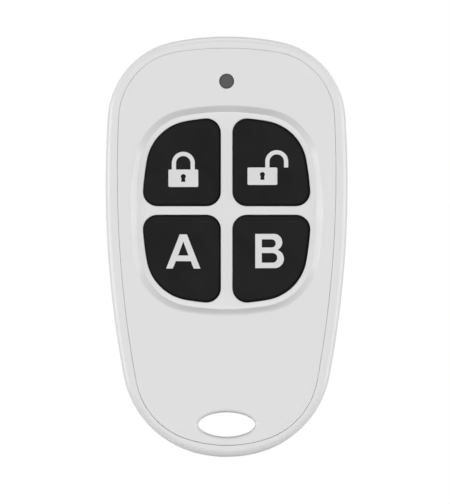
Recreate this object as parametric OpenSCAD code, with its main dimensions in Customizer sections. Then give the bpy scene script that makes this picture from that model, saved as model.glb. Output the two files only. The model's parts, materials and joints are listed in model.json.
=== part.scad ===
// Alarm key fob: a two-part white case with four silicone keys, a lamp window and a key ring hole.
// Lies on its back: the back face is at z = 0, +Z comes out of the front, +Y is the lamp end.

/* [Body] */
// Length of the case, from the lamp end to the key ring end
body_length = 62; // [60:0.5:70]
// Width of the case at its widest point
body_width = 35.7; // [34.5:0.1:40]
// Thickness of the case, from the back face to the front face
body_thickness = 11; // [10.7:0.1:13]
// Distance of the widest point below the lamp end
widest_below_top = 21.7; // [20:0.1:23]
// Radius of the arc across the lamp end
top_end_radius = 40; // [36:1:50]
// Radius of the shoulder arcs
shoulder_radius = 12; // [11.5:0.1:13]
// Radius of the long side arcs
side_radius = 152; // [145:1:180]
// Radius of the corner arcs at the key ring end
ring_corner_radius = 14.5; // [12:0.1:15]
// How far the radius across the key ring end exceeds half the width of the case
ring_end_flatness = 0.15; // [0:0.05:2]
// Radius of the rounded edge round the front
front_edge_radius = 1.2; // [0.6:0.1:1.4]
// Radius of the rounded edge round the back
back_edge_radius = 3.6; // [1:0.1:3.8]

/* [Case walls] */
// Thickness of the floor at the back
floor_thickness = 1.6; // [1.4:0.1:1.8]
// Distance of the seam between cover and rim from the sides and ends of the case
seam_inset = 1.73; // [1.6:0.01:1.9]
// Width of the seam between cover and rim
seam_gap = 0.04; // [0.04:0.02:0.2]
// Width of the ledge that the cover rests on
ledge_width = 1.2; // [0.8:0.1:1.3]
// Thickness of the cover plate
cover_thickness = 1.8; // [1.6:0.1:2]
// Radius of the softened edge of the cover plate
cover_edge_radius = 0.05; // [0.05:0.05:0.3]

/* [Seam outline] */
// Distance of the seam's widest point below the lamp end
seam_widest_below_top = 20.3; // [19.5:0.1:21.5]
// Radius of the seam's arc across the lamp end
seam_top_radius = 48; // [40:1:55]
// Radius of the seam's shoulder arcs
seam_shoulder_radius = 10.1; // [9.5:0.1:10.8]
// Radius of the seam's long side arcs
seam_side_radius = 169; // [150:1:190]
// Radius of the seam's corner arcs at the key ring end
seam_corner_radius = 11; // [10:0.1:12.5]
// How far the seam's radius across the key ring end exceeds half the seam's width
seam_end_flatness = 2.7; // [1.5:0.1:4]

/* [Keys] */
// Distance of the middle of the key group below the lamp end
keys_below_top = 25.65; // [25:0.05:27]
// Distance of the key group from the sides of the case at its widest point
key_side_margin = 5.435; // [5:0.005:6]
// Height of the key group
key_group_height = 27.41; // [26.5:0.01:28]
// Radius of the arcs at the left and right of the key group
key_group_side_radius = 42.3; // [36:0.1:60]
// Radius of the arcs at the top and bottom of the key group
key_group_end_radius = 34.4; // [30:0.1:60]
// Radius of the outer corner of each key
key_outer_radius = 7.08; // [6:0.01:8]
// Radius of the other corners of each key
key_corner_radius = 2.13; // [2:0.01:2.4]
// Width of the upright bar between the keys
upright_bar_width = 1.73; // [1.4:0.01:2.2]
// Width of the level bar between the keys
level_bar_width = 1.29; // [1.2:0.01:2]
// Height of the key tops over the recess floor
key_rise = 0.2; // [0.1:0.05:1.5]
// Radius of the rounded top edge of each key
key_edge_radius = 0.3; // [0.15:0.05:0.5]
// Gap between a key and its opening
key_clearance = 0.15; // [0.1:0.01:0.25]
// Travel of a key
key_travel = 0.8; // [0.4:0.05:0.9]
// Reach of a key's foot under the cover
key_foot_reach = 0.35; // [0.2:0.05:0.4]
// Thickness of a key's foot
key_foot_thickness = 0.7; // [0.5:0.05:0.8]
// Gap between the stem under a key and its web
key_stem_gap = 1; // [0.6:0.05:1.4]

/* [Recess] */
// Depth of the recess round the keys
recess_depth = 1; // [0.4:0.05:1.1]
// Width of the recess floor outside the keys
recess_margin = 0.78; // [0.5:0.01:1]
// Width of the recess bevel
recess_bevel = 1.02; // [0.6:0.01:1.1]

/* [Lamp window] */
// Distance of the lamp window below the lamp end
lamp_below_top = 6.6; // [6:0.1:7]
// Diameter of the lamp window
lamp_diameter = 2.08; // [1.8:0.01:2.4]
// Depth of the window's face below the front face
lamp_recess = 0.15; // [0.05:0.05:0.4]

/* [Key ring hole] */
// Distance of the hole's middle from the key ring end
ring_hole_above_end = 4.8; // [4.6:0.05:5.4]
// Width of the key ring hole
ring_hole_width = 8.4; // [7:0.1:9]
// Height of the key ring hole
ring_hole_height = 3.6; // [3.2:0.05:3.8]
// Extra reach of the hole in the shell, all round, past the hole in the cover
ring_hole_relief = 0.2; // [0.1:0.05:0.3]
// Wall round the key ring hole
ring_hole_wall = 1; // [0.8:0.1:1.3]
// Radius of the rounded edge of the key ring hole
ring_hole_edge_radius = 0.4; // [0.2:0.05:0.5]

/* [Keypad] */
// Thickness of the keypad mat
mat_thickness = 0.7; // [0.5:0.05:0.75]
// Reach of the mat past the key group
mat_margin = 1.4; // [1.35:0.05:1.5]
// Thickness of the rib that holds the mat down
mat_rib_thickness = 0.7; // [0.4:0.1:0.75]
// Thickness of the silicone webs, measured along the mat
web_thickness = 0.4; // [0.3:0.05:0.45]
// Distance of a web's foot inside the key's opening
web_foot_inset = 0.35; // [0.3:0.05:0.5]
// Distance of a web's top inside the key's opening
web_top_inset = 1.4; // [1:0.05:1.5]
// Distance of a conductive pill's edge inside its stem
pill_inset = 0.7; // [0.6:0.1:1.2]
// Thickness of the conductive pills
pill_thickness = 0.35; // [0.3:0.05:0.4]

/* [Board] */
// Thickness of the circuit board
board_thickness = 1; // [0.8:0.1:1]
// Gap between the board and the case wall
board_clearance = 0.4; // [0.3:0.05:0.6]
// Distance of the board's straight edge over the middle of the key ring hole
board_over_ring_hole = 4.7; // [4.5:0.1:5]
// Thickness of the copper pads and traces
copper_thickness = 0.05; // [0.03:0.01:0.06]
// Radius of the contact pads under the keys
pad_radius = 2.4; // [2.3:0.1:2.6]
// Width of the split between the two halves of a pad
pad_split = 0.4; // [0.3:0.05:0.6]
// Width of the printed aerial
aerial_width = 0.8; // [0.5:0.1:1]

/* [Chips] */
// Distance of a chip's middle from the middle of the case
chip_x = 6; // [5.9:0.1:7]
// Length of a chip
chip_length = 4.9; // [4.6:0.1:5]
// Width of a chip
chip_width = 3.9; // [3.6:0.1:4]
// Height of a chip
chip_height = 1.5; // [1.2:0.1:1.8]
// Distance between the leads of a chip
lead_pitch = 1.27; // [1:0.01:1.3]
// Width of a lead
lead_width = 0.4; // [0.3:0.05:0.5]
// Length of a lead outside the chip
lead_length = 1; // [0.8:0.1:1.2]
// Thickness of a lead
lead_thickness = 0.25; // [0.15:0.05:0.3]
// Length of the crystal's can
crystal_length = 5; // [4.5:0.1:5.4]
// Width of the crystal's can
crystal_width = 3.2; // [2.8:0.1:3.4]
// Height of the crystal's can
crystal_height = 1.2; // [0.8:0.1:1.6]
// Length of a small resistor or capacitor
small_chip_length = 1.6; // [1.4:0.1:1.8]
// Width of a small resistor or capacitor
small_chip_width = 0.8; // [0.6:0.1:1]
// Height of a small resistor or capacitor
small_chip_height = 0.5; // [0.4:0.1:0.8]
// Distance between the rows of small parts
small_chip_pitch = 2.2; // [2:0.1:2.3]
// Gap between the small parts and the posts beside them
small_chip_gap = 0.9; // [0.5:0.1:1.2]

/* [Battery] */
// Diameter of the coin cell
cell_diameter = 20; // [19:0.1:20.4]
// Thickness of the coin cell
cell_thickness = 3.2; // [3:0.1:3.25]
// Gap round the coin cell
cell_clearance = 0.3; // [0.2:0.05:0.35]
// Space for the spring between cell and board
spring_height = 0.5; // [0.4:0.05:0.5]
// Thickness of the spring sheet
spring_sheet = 0.2; // [0.15:0.01:0.25]
// Wall of the cell holder
holder_wall = 1; // [0.8:0.1:1.2]

/* [Battery door] */
// Wall of the door's collar
collar_wall = 0.55; // [0.5:0.05:0.8]
// Reach of the locking lugs
lug_reach = 1.35; // [1:0.05:1.5]
// Thickness of the locking lugs
lug_thickness = 0.8; // [0.6:0.05:0.9]
// Angle that one lug covers
lug_angle = 24; // [16:1:30]
// Angle of the door's turn from closed to open
door_turn = 50; // [45:1:60]
// Thickness of the door's outer flange
door_flange_thickness = 0.8; // [0.6:0.05:0.85]
// Reach of the flange past the lug notches
door_flange_reach = 0.85; // [0.6:0.05:1]
// Running gap round the door
door_clearance = 0.1; // [0.06:0.01:0.12]
// Length of the coin slot
coin_slot_length = 17; // [12:0.5:18]
// Width of the coin slot
coin_slot_width = 2.2; // [1.8:0.1:2.6]
// Depth of the coin slot
coin_slot_depth = 0.9; // [0.6:0.05:1]

/* [Screws] */
// Radius of the screw shanks
screw_radius = 0.95; // [0.8:0.05:1.1]
// Radius of the screw heads
screw_head_radius = 1.9; // [1.6:0.05:2]
// Height of the screw heads
screw_head_height = 1.1; // [0.9:0.05:1.2]
// Gap between a screw and its well in the rear shell
screw_clearance = 0.15; // [0.1:0.01:0.25]
// Depth of the seat under a screw head
screw_seat_depth = 2.4; // [2:0.1:2.6]
// Radius of the posts in the rear shell
post_radius = 3.2; // [3:0.1:3.4]
// Radius of the bosses under the cover
boss_radius = 2; // [1.8:0.1:2.1]
// Distance of the upper screws from the shoulder centres
screw_from_shoulder = 5.6; // [5.4:0.1:5.8]
// Distance of the lower screw over the key ring hole
screw_over_ring_hole = 8.7; // [8.5:0.1:9]

/* [Hidden] */
$fn = 64;

// How far a straight step may stray from its arc
arc_tolerance = 0.015;
// Steps in the quarter round of an edge
edge_steps = 5;
// Points round the key ring hole
ring_hole_points = 48;
// Extra length of a cutting shape past the face that it cuts
cut = 0.5;
// Overlap that joins two shapes of one piece
joint = 0.2;
// Gap between pieces that meet without pressing
touch = 0.05;

// Outlines of the case and of the seam, with radii from the lamp end to the key ring end
half_width = body_width / 2;
half_length = body_length / 2;
body_arcs = case_arcs(
    half_width, half_length, half_length - widest_below_top,
    [top_end_radius, shoulder_radius, side_radius, ring_corner_radius, half_width + ring_end_flatness]
);
seam_half_width = half_width - seam_inset;
seam_arcs = case_arcs(
    seam_half_width, half_length - seam_inset, half_length - seam_widest_below_top,
    [
        seam_top_radius, seam_shoulder_radius, seam_side_radius, seam_corner_radius,
        seam_half_width + seam_end_flatness
    ]
);
shoulder_centre = body_arcs[len(body_arcs) - 1][0];

// Key group outline, about its own middle
group_half_width = half_width - key_side_margin;
group_half_height = key_group_height / 2;
group_end_centre = [0, group_half_height - key_group_end_radius];
group_side_centre = [group_half_width - key_group_side_radius, 0];
group_corner_centre = meeting(
    group_end_centre, key_group_end_radius - key_outer_radius,
    group_side_centre, key_group_side_radius - key_outer_radius
);
group_end_angle = direction(group_end_centre, group_corner_centre);
group_side_angle = direction(group_side_centre, group_corner_centre);
group_arcs = [
    [group_end_centre, key_group_end_radius, group_end_angle, 180 - group_end_angle],
    [flip(group_corner_centre), key_outer_radius, 180 - group_end_angle, 180 - group_side_angle],
    [flip(group_side_centre), key_group_side_radius, 180 - group_side_angle, 180 + group_side_angle],
    [-group_corner_centre, key_outer_radius, 180 + group_side_angle, 180 + group_end_angle],
    [-group_end_centre, key_group_end_radius, 180 + group_end_angle, 360 - group_end_angle],
    [-flip(group_corner_centre), key_outer_radius, 360 - group_end_angle, 360 - group_side_angle],
    [group_side_centre, key_group_side_radius, -group_side_angle, group_side_angle],
    [group_corner_centre, key_outer_radius, group_side_angle, group_end_angle]
];

// Opening of the upper right key, the others are its mirror images
bar_x = upright_bar_width / 2;
bar_y = level_bar_width / 2;
key_inner_centre = [bar_x + key_corner_radius, bar_y + key_corner_radius];
key_end_centre = [
    key_inner_centre.x,
    group_end_centre.y + sqrt((key_group_end_radius - key_corner_radius) ^ 2 - key_inner_centre.x ^ 2)
];
key_side_centre = [
    group_side_centre.x + sqrt((key_group_side_radius - key_corner_radius) ^ 2 - key_inner_centre.y ^ 2),
    key_inner_centre.y
];
key_end_angle = direction(group_end_centre, key_end_centre);
key_side_angle = direction(group_side_centre, key_side_centre);
key_arcs = [
    [group_end_centre, key_group_end_radius, group_end_angle, key_end_angle],
    [key_end_centre, key_corner_radius, key_end_angle, 180],
    [key_inner_centre, key_corner_radius, 180, 270],
    [key_side_centre, key_corner_radius, 270, 360 + key_side_angle],
    [group_side_centre, key_group_side_radius, key_side_angle, group_side_angle],
    [group_corner_centre, key_outer_radius, group_side_angle, group_end_angle]
];
key_middle = [(bar_x + group_half_width) / 2, (bar_y + group_half_height) / 2];
key_half_size = min(group_half_width - bar_x, group_half_height - bar_y) / 2;
key_stem_radius = key_half_size - web_top_inset - web_thickness - key_stem_gap;
pill_radius = key_stem_radius - pill_inset;

// Places along the case
keys_y = half_length - keys_below_top;
lamp_y = half_length - lamp_below_top;
ring_hole_y = ring_hole_above_end - half_length;
tube_reach = ring_hole_relief + ring_hole_wall;
door_y = keys_y;
upper_screw = shoulder_centre + screw_from_shoulder * [cos(45), sin(45)];
screw_places = [upper_screw, flip(upper_screw), [0, ring_hole_y + screw_over_ring_hole]];

// Insets of the walls, from the seam outline and from the body outline
half_seam = seam_gap / 2;
wall_inset = seam_inset + ledge_width;
board_inset = wall_inset + board_clearance;

// Door and cell radii
cell_radius = cell_diameter / 2;
cup_radius = cell_radius + cell_clearance;
plug_radius = cup_radius + collar_wall;
door_hole_radius = plug_radius + door_clearance;
lug_radius = plug_radius + lug_reach;
notch_radius = lug_radius + door_clearance;
door_flange_radius = notch_radius + door_flange_reach;
door_seat_radius = door_flange_radius + door_clearance;
lug_count = 3;
lug_spacing = 360 / lug_count;
lug_start = 90 - lug_angle / 2;
// Extra angle on each side of a lug in its notch
notch_slack = 2;
holder_inner_radius = cell_radius + cell_clearance;
holder_outer_radius = holder_inner_radius + holder_wall;
clip_angle = 36;
clip_slack = 5;

// Heights, from the back face up
door_back_z = touch;
door_seat_z = door_back_z + door_flange_thickness + touch;
lug_z = floor_thickness + door_clearance;
lug_top_z = lug_z + lug_thickness;
cell_z = lug_z + door_clearance;
cell_top_z = cell_z + cell_thickness;
holder_z = lug_top_z + cell_clearance;
board_z = cell_top_z + spring_height;
board_top_z = board_z + board_thickness;
pad_top_z = board_top_z + copper_thickness;
mat_top_z = board_top_z + mat_thickness;
pill_z = pad_top_z + touch + key_travel;
pill_top_z = pill_z + pill_thickness;
cover_z = body_thickness - cover_thickness;
recess_z = body_thickness - recess_depth;
key_foot_top_z = cover_z - key_clearance;
key_foot_z = key_foot_top_z - key_foot_thickness;
key_top_z = recess_z + key_rise;
web_top_z = key_foot_z - touch;

// Lamp window
lamp_radius = lamp_diameter / 2;
lamp_flange_reach = 0.7;
lamp_flange_radius = lamp_radius + lamp_flange_reach;
lamp_flange_thickness = 0.6;
lamp_height = 0.6;
lamp_gap = 0.3;
lamp_tail_z = board_top_z + lamp_height + lamp_gap;

// Chips beside the cell holder, and the small parts under the lamp
chip_leads = 4;
small_chip_columns = 5;
lead_gap = 0.5;
lead_overlap = joint / 2;
chip_size = [chip_length, chip_width, chip_height];
lead_size = [lead_width, lead_length, lead_thickness];
crystal_size = [crystal_length, crystal_width, crystal_height];
small_chip_size = [small_chip_width, small_chip_length, small_chip_height];
small_chip_reach = upper_screw.x - post_radius - small_chip_gap - small_chip_width / 2;
small_chip_step = 2 * small_chip_reach / (small_chip_columns - 1);
chip_y = door_y - holder_outer_radius - lead_gap - lead_length - chip_width / 2;

case_white = [0.93, 0.93, 0.92];
key_black = [0.1, 0.1, 0.1];
silicone_grey = [0.16, 0.16, 0.16];
board_green = [0.06, 0.3, 0.16];
copper_gold = [0.85, 0.62, 0.25];
steel_grey = [0.75, 0.75, 0.76];

// Point mirrored to the left side
function flip(p) = [-p.x, p.y];

// Direction from one point to another, in degrees
function direction(from, to) = atan2(to.y - from.y, to.x - from.x);

// Meeting point of two circles, on the right of the way from the first centre to the second
function meeting(c0, r0, c1, r1) =
    let (
        gap = c1 - c0,
        span = norm(gap),
        along = (r0 ^ 2 - r1 ^ 2 + span ^ 2) / (2 * span),
        aside = sqrt(r0 ^ 2 - along ^ 2)
    )
    c0 + along * gap / span + aside * [gap.y, -gap.x] / span;

// Closed outline of tangent arcs, the same on the left and on the right
function case_arcs(half_wide, half_long, widest, radii) =
    let (
        top = [0, half_long - radii[0]],
        side = [half_wide - radii[2], widest],
        end = [0, radii[4] - half_long],
        shoulder = meeting(top, radii[0] - radii[1], side, radii[2] - radii[1]),
        corner = meeting(side, radii[2] - radii[3], end, radii[4] - radii[3]),
        top_angle = direction(top, shoulder),
        shoulder_angle = direction(side, shoulder),
        side_angle = direction(side, corner),
        corner_angle = direction(end, corner)
    )
    [
        [top, radii[0], top_angle, 180 - top_angle],
        [flip(shoulder), radii[1], 180 - top_angle, 180 - shoulder_angle],
        [flip(side), radii[2], 180 - shoulder_angle, 180 - side_angle],
        [flip(corner), radii[3], 180 - side_angle, 180 - corner_angle],
        [end, radii[4], 180 - corner_angle, 360 + corner_angle],
        [corner, radii[3], 360 + corner_angle, 360 + side_angle],
        [side, radii[2], 360 + side_angle, 360 + shoulder_angle],
        [shoulder, radii[1], shoulder_angle, top_angle]
    ];

// Points along one arc, given as [centre, radius, start angle, end angle]
function arc_points(arc, inset) =
    let (
        step = 2 * acos(1 - arc_tolerance / arc[1]),
        steps = max(2, ceil((arc[3] - arc[2]) / step))
    )
    [
        for (i = [0 : steps - 1])
            let (a = arc[2] + (arc[3] - arc[2]) * i / steps)
            arc[0] + (arc[1] - inset) * [cos(a), sin(a)]
    ];

// Closed outline of tangent arcs, moved inwards by inset
function outline(arcs, inset = 0) = [for (arc = arcs) each arc_points(arc, inset)];

// Rounded edge as [inset, height] pairs, rising from an upright wall to a level top
function top_edge(inset, top, radius) = [
    for (i = [0 : edge_steps])
        let (a = 90 * i / edge_steps)
        [inset + radius * (1 - cos(a)), top - radius * (1 - sin(a))]
];

// Rounded edge as [inset, height] pairs, rising from a level bottom to an upright wall
function bottom_edge(inset, bottom, radius) = [
    for (i = [0 : edge_steps])
        let (a = 90 * i / edge_steps)
        [inset + radius * (1 - sin(a)), bottom + radius * (1 - cos(a))]
];

// Solid between rings of equally many points, from the lowest ring to the highest.
// A looped one returns to its first ring in place of its two end faces, which leaves it open inside.
module loft(rings, looped = false) {
    count = len(rings[0]);
    total = len(rings) * count;
    sides = [
        for (r = [0 : len(rings) - (looped ? 1 : 2)], i = [0 : count - 1])
            let (low = r * count, high = (low + count) % total, j = (i + 1) % count)
            [low + i, high + i, high + j, low + j]
    ];
    ends = [
        [for (i = [0 : count - 1]) i],
        [for (i = [count - 1 : -1 : 0]) total - count + i]
    ];
    polyhedron(
        points = [for (ring = rings) each ring],
        faces = concat(sides, looped ? [] : ends),
        convexity = 6
    );
}

// Solid with an outline of arcs whose inset changes with height
module shaped(arcs, profile, looped = false) {
    loft([for (p = profile) [for (q = outline(arcs, p[0])) [q.x, q.y, p[1]]]], looped);
}

// Upright solid with an outline of arcs
module prism(arcs, inset, low, high) {
    translate([0, 0, low]) linear_extrude(high - low) polygon(outline(arcs, inset));
}

// Upright cylinder between two heights
module post(radius, low, high) {
    translate([0, 0, low]) cylinder(r = radius, h = high - low);
}

// Oval solid of the key ring hole, grown by the first number of each [grow, height] pair
module ring_hole(profile) {
    loft([
        for (p = profile) [
            for (i = [0 : ring_hole_points - 1])
                let (a = 360 * i / ring_hole_points)
                [
                    (ring_hole_width / 2 + p[0]) * cos(a),
                    (ring_hole_height / 2 + p[0]) * sin(a) + ring_hole_y,
                    p[1]
                ]
        ]
    ]);
}

// Ring sector about the door's axis
module sector(inner, outer, low, high, start, sweep) {
    translate([0, door_y, 0]) rotate([0, 0, start])
        rotate_extrude(angle = sweep) translate([inner, low]) square([outer - inner, high - low]);
}

// Puts a shape of the upper right key at another key: side and end are 1 or -1
module at_key(side, end) {
    translate([0, keys_y, 0])
        mirror([side < 0 ? 1 : 0, 0, 0]) mirror([0, end < 0 ? 1 : 0, 0]) children();
}

module at_all_keys() {
    for (side = [-1, 1], end = [-1, 1]) at_key(side, end) children();
}

module at_screws() {
    for (p = screw_places) translate([p.x, p.y, 0]) children();
}

// White tub whose rim frames the front
module rear_shell() color(case_white) difference() {
    union() {
        difference() {
            shaped(body_arcs, concat(
                bottom_edge(0, 0, back_edge_radius),
                top_edge(0, body_thickness, front_edge_radius)
            ));
            prism(body_arcs, wall_inset, floor_thickness, cover_z + cut);
            prism(seam_arcs, -half_seam, cover_z, body_thickness + cut);
        }
        at_screws() post(post_radius, floor_thickness - joint, board_z);
        ring_hole([[tube_reach, floor_thickness - joint], [tube_reach, cover_z]]);
    }
    ring_hole(concat(
        [[ring_hole_relief + ring_hole_edge_radius, -cut]],
        bottom_edge(ring_hole_relief, 0, ring_hole_edge_radius),
        [[ring_hole_relief, body_thickness]]
    ));
    translate([0, door_y, 0]) {
        post(door_seat_radius, -cut, door_seat_z);
        post(door_hole_radius, -cut, floor_thickness + cut);
    }
    for (i = [0 : lug_count - 1])
        sector(
            plug_radius - joint, notch_radius, 0, floor_thickness + cut,
            lug_start - door_turn - notch_slack + i * lug_spacing, lug_angle + 2 * notch_slack
        );
    at_screws() {
        post(screw_head_radius + screw_clearance, -cut, screw_seat_depth);
        post(screw_radius + screw_clearance, -cut, board_z + cut);
    }
}

// White plate inside the rim, with the recess, the key openings and the mat rib
module front_cover() color(case_white) difference() {
    union() {
        shaped(seam_arcs, concat(
            [[half_seam, cover_z]],
            top_edge(half_seam, body_thickness, cover_edge_radius)
        ));
        translate([0, keys_y, 0]) difference() {
            prism(group_arcs, -mat_margin, mat_top_z, cover_z + joint);
            prism(group_arcs, mat_rib_thickness - mat_margin, mat_top_z - cut, cover_z);
        }
        at_screws() post(boss_radius, board_z, cover_z + joint);
    }
    translate([0, keys_y, 0])
        shaped(group_arcs, [
            [-recess_margin, recess_z],
            [-recess_margin - recess_bevel * (recess_depth + cut) / recess_depth, body_thickness + cut]
        ]);
    at_all_keys() prism(key_arcs, 0, cover_z - cut, body_thickness);
    translate([0, lamp_y, 0]) post(lamp_radius + touch, cover_z - cut, body_thickness + cut);
    ring_hole(concat(
        [[0, cover_z - cut]],
        top_edge(0, body_thickness, ring_hole_edge_radius),
        [[ring_hole_edge_radius, body_thickness + cut]]
    ));
    at_screws() post(screw_radius + touch, board_z - cut, cover_z - joint);
}

// Smoked light pipe, held by its flange under the cover
module led_window() color([0.3, 0.3, 0.31]) translate([0, lamp_y, 0]) {
    post(lamp_radius, lamp_tail_z, body_thickness - lamp_recess);
    post(lamp_flange_radius, cover_z - lamp_flange_thickness, cover_z);
}

// Black silicone key with its foot and stem
module key(side, end) color(key_black) at_key(side, end) {
    shaped(key_arcs, concat(
        [[key_clearance, key_foot_z]],
        top_edge(key_clearance, key_top_z, key_edge_radius)
    ));
    prism(key_arcs, -key_foot_reach, key_foot_z, key_foot_top_z);
    translate([key_middle.x, key_middle.y, 0]) post(key_stem_radius, pill_top_z, key_foot_z + joint);
}

module button_lock() key(-1, 1);
module button_unlock() key(1, 1);
module button_a() key(-1, -1);
module button_b() key(1, -1);

// Thin sloping silicone wall between the mat and a key
module web(side, end) color(silicone_grey) at_key(side, end)
    shaped(key_arcs, [
        [web_foot_inset, mat_top_z],
        [web_top_inset, web_top_z],
        [web_top_inset + web_thickness, web_top_z],
        [web_foot_inset + web_thickness, mat_top_z]
    ], looped = true);

module web_lock() web(-1, 1);
module web_unlock() web(1, 1);
module web_a() web(-1, -1);
module web_b() web(1, -1);

// Conductive pill on the stem's end
module pill(side, end) color("black")
    at_key(side, end) translate([key_middle.x, key_middle.y, 0]) post(pill_radius, pill_z, pill_top_z);

module pill_lock() pill(-1, 1);
module pill_unlock() pill(1, 1);
module pill_a() pill(-1, -1);
module pill_b() pill(1, -1);

// Silicone sheet on the board, open under each key
module keypad_mat() color(silicone_grey) difference() {
    translate([0, keys_y, 0]) prism(group_arcs, -mat_margin, board_top_z, mat_top_z);
    at_all_keys() prism(key_arcs, web_foot_inset + web_thickness, board_top_z - cut, mat_top_z + cut);
}

// Everything below the board's straight edge, moved up by inset
module past_board_edge(inset, low, high) {
    edge_y = ring_hole_y + board_over_ring_hole + inset;
    translate([-body_width, edge_y - body_length, low]) cube([2 * body_width, body_length, high - low]);
}

// Green board, with holes for the cover's bosses
module circuit_board() color(board_green) difference() {
    prism(body_arcs, board_inset, board_z, board_top_z);
    past_board_edge(0, board_z - cut, board_top_z + cut);
    at_screws() post(boss_radius + board_clearance, board_z - cut, board_top_z + cut);
}

// Split gold pads under the keys
module contact_pads() color(copper_gold) at_all_keys()
    translate([key_middle.x, key_middle.y, 0]) difference() {
        post(pad_radius, board_top_z, pad_top_z);
        translate([-pad_split / 2, -pad_radius - cut, board_top_z - cut])
            cube([pad_split, 2 * (pad_radius + cut), 2 * cut + copper_thickness]);
    }

// Copper loop printed round the key ring end of the board
module antenna_trace() color(copper_gold) difference() {
    prism(body_arcs, board_inset + aerial_width, board_top_z, pad_top_z);
    past_board_edge(aerial_width, board_top_z - cut, pad_top_z + cut);
    difference() {
        prism(body_arcs, board_inset + 2 * aerial_width, board_top_z - cut, pad_top_z + cut);
        past_board_edge(2 * aerial_width, board_top_z - cut, pad_top_z + cut);
    }
    translate([-body_width, keys_y - group_half_height - mat_margin - aerial_width, board_top_z - cut])
        cube([2 * body_width, body_length, 2 * cut + copper_thickness]);
}

// Lamp on the board under the window
module indicator_led() color([0.95, 0.93, 0.8]) translate([0, lamp_y, board_top_z]) {
    base_height = lamp_height / 2;
    translate([-small_chip_length / 2, -small_chip_width / 2, 0])
        cube([small_chip_length, small_chip_width, base_height]);
    cylinder(r1 = small_chip_width / 2, r2 = small_chip_width / 3, h = lamp_height);
}

// Block hanging under the board
module under_board(place, size) {
    translate([place.x - size.x / 2, place.y - size.y / 2, board_z - size.z]) cube(size);
}

// Chip with a row of leads on each side
module leaded_chip(place) {
    color([0.12, 0.12, 0.13]) under_board(place, chip_size);
    row_y = (chip_width + lead_length) / 2;
    color(steel_grey) for (i = [0 : chip_leads - 1], row = [-1, 1])
        under_board(
            place + [(i - (chip_leads - 1) / 2) * lead_pitch, row * (row_y - lead_overlap)],
            lead_size
        );
}

module radio_chip() leaded_chip([-chip_x, chip_y]);
module encoder_chip() leaded_chip([chip_x, chip_y]);

// Metal can of the crystal, behind the lamp
module crystal() color(steel_grey) under_board([0, lamp_y], crystal_size);

// Small resistors and capacitors, in rows between the crystal and the cell holder
module chip_components() color([0.55, 0.42, 0.3])
    for (column = [0 : small_chip_columns - 1], row = [1, 2])
        under_board(
            [
                column * small_chip_step - small_chip_reach,
                lamp_y - crystal_width / 2 - (row - 1 / 2) * small_chip_pitch
            ],
            small_chip_size
        );

// Coin cell: wide can below, smaller cap above
module coin_cell() color(steel_grey) translate([0, door_y, 0]) {
    cap_step = 0.4;
    cap_inset = 1.2;
    post(cell_radius, cell_z, cell_top_z - cap_step);
    post(cell_radius - cap_inset, cell_z + cap_step, cell_top_z);
}

// Plastic ring under the board, open where the positive spring stands
module cell_holder() color([0.2, 0.2, 0.22])
    sector(
        holder_inner_radius, holder_outer_radius, holder_z, board_z,
        clip_angle / 2 + clip_slack, 360 - clip_angle - 2 * clip_slack
    );

// Spring against the cell's side, with a foot under the board
module contact_positive() color(copper_gold) {
    inner = cell_radius + touch;
    sector(inner, inner + spring_sheet, holder_z, board_z, -clip_angle / 2, clip_angle);
    sector(inner, holder_outer_radius, board_z - spring_sheet, board_z, -clip_angle / 2, clip_angle);
}

// Spring under the board with two domes that press on the cell's cap
module contact_negative() color(copper_gold) translate([0, door_y, 0]) {
    strip_length = 12;
    strip_width = 4;
    dome_radius = 1.4;
    dome_tip_radius = 0.6;
    dome_spacing = 7;
    translate([-strip_length / 2, -strip_width / 2, board_z - spring_sheet])
        cube([strip_length, strip_width, spring_sheet]);
    for (side = [-1, 1]) translate([side * dome_spacing / 2, 0, cell_top_z + touch])
        cylinder(r1 = dome_tip_radius, r2 = dome_radius, h = spring_height - touch - spring_sheet / 2);
}

// Round door with three locking lugs, a cup for the cell and a coin slot
module battery_door() color(case_white) difference() {
    union() {
        translate([0, door_y, 0]) {
            post(door_flange_radius, door_back_z, door_back_z + door_flange_thickness);
            post(plug_radius, door_back_z, lug_top_z);
        }
        for (i = [0 : lug_count - 1])
            sector(
                cup_radius + touch, lug_radius, lug_z, lug_top_z,
                lug_start + i * lug_spacing, lug_angle
            );
    }
    translate([0, door_y, 0]) {
        post(cup_radius, lug_z, lug_top_z + cut);
        straight = coin_slot_length - coin_slot_width;
        slot_top_z = door_back_z + coin_slot_depth;
        translate([-straight / 2, -coin_slot_width / 2, -cut])
            cube([straight, coin_slot_width, slot_top_z + cut]);
        for (side = [-1, 1]) translate([side * straight / 2, 0, 0])
            post(coin_slot_width / 2, -cut, slot_top_z);
    }
}

// Screws with crossed slots, from the back into the cover's bosses
module case_screws() color(steel_grey) at_screws() difference() {
    slot_width = 0.5;
    slot_depth = 0.6;
    head_z = screw_seat_depth - screw_head_height;
    union() {
        post(screw_head_radius, head_z, screw_seat_depth);
        post(screw_radius, head_z + slot_depth, cover_z - 2 * joint);
    }
    for (turn = [0, 90]) rotate([0, 0, turn])
        translate([-screw_radius, -slot_width / 2, head_z - cut])
            cube([2 * screw_radius, slot_width, cut + slot_depth]);
}

rear_shell();
front_cover();
led_window();
button_lock();
button_unlock();
button_a();
button_b();
web_lock();
web_unlock();
web_a();
web_b();
pill_lock();
pill_unlock();
pill_a();
pill_b();
keypad_mat();
circuit_board();
contact_pads();
antenna_trace();
indicator_led();
radio_chip();
encoder_chip();
crystal();
chip_components();
coin_cell();
cell_holder();
contact_positive();
contact_negative();
battery_door();
case_screws();
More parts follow.
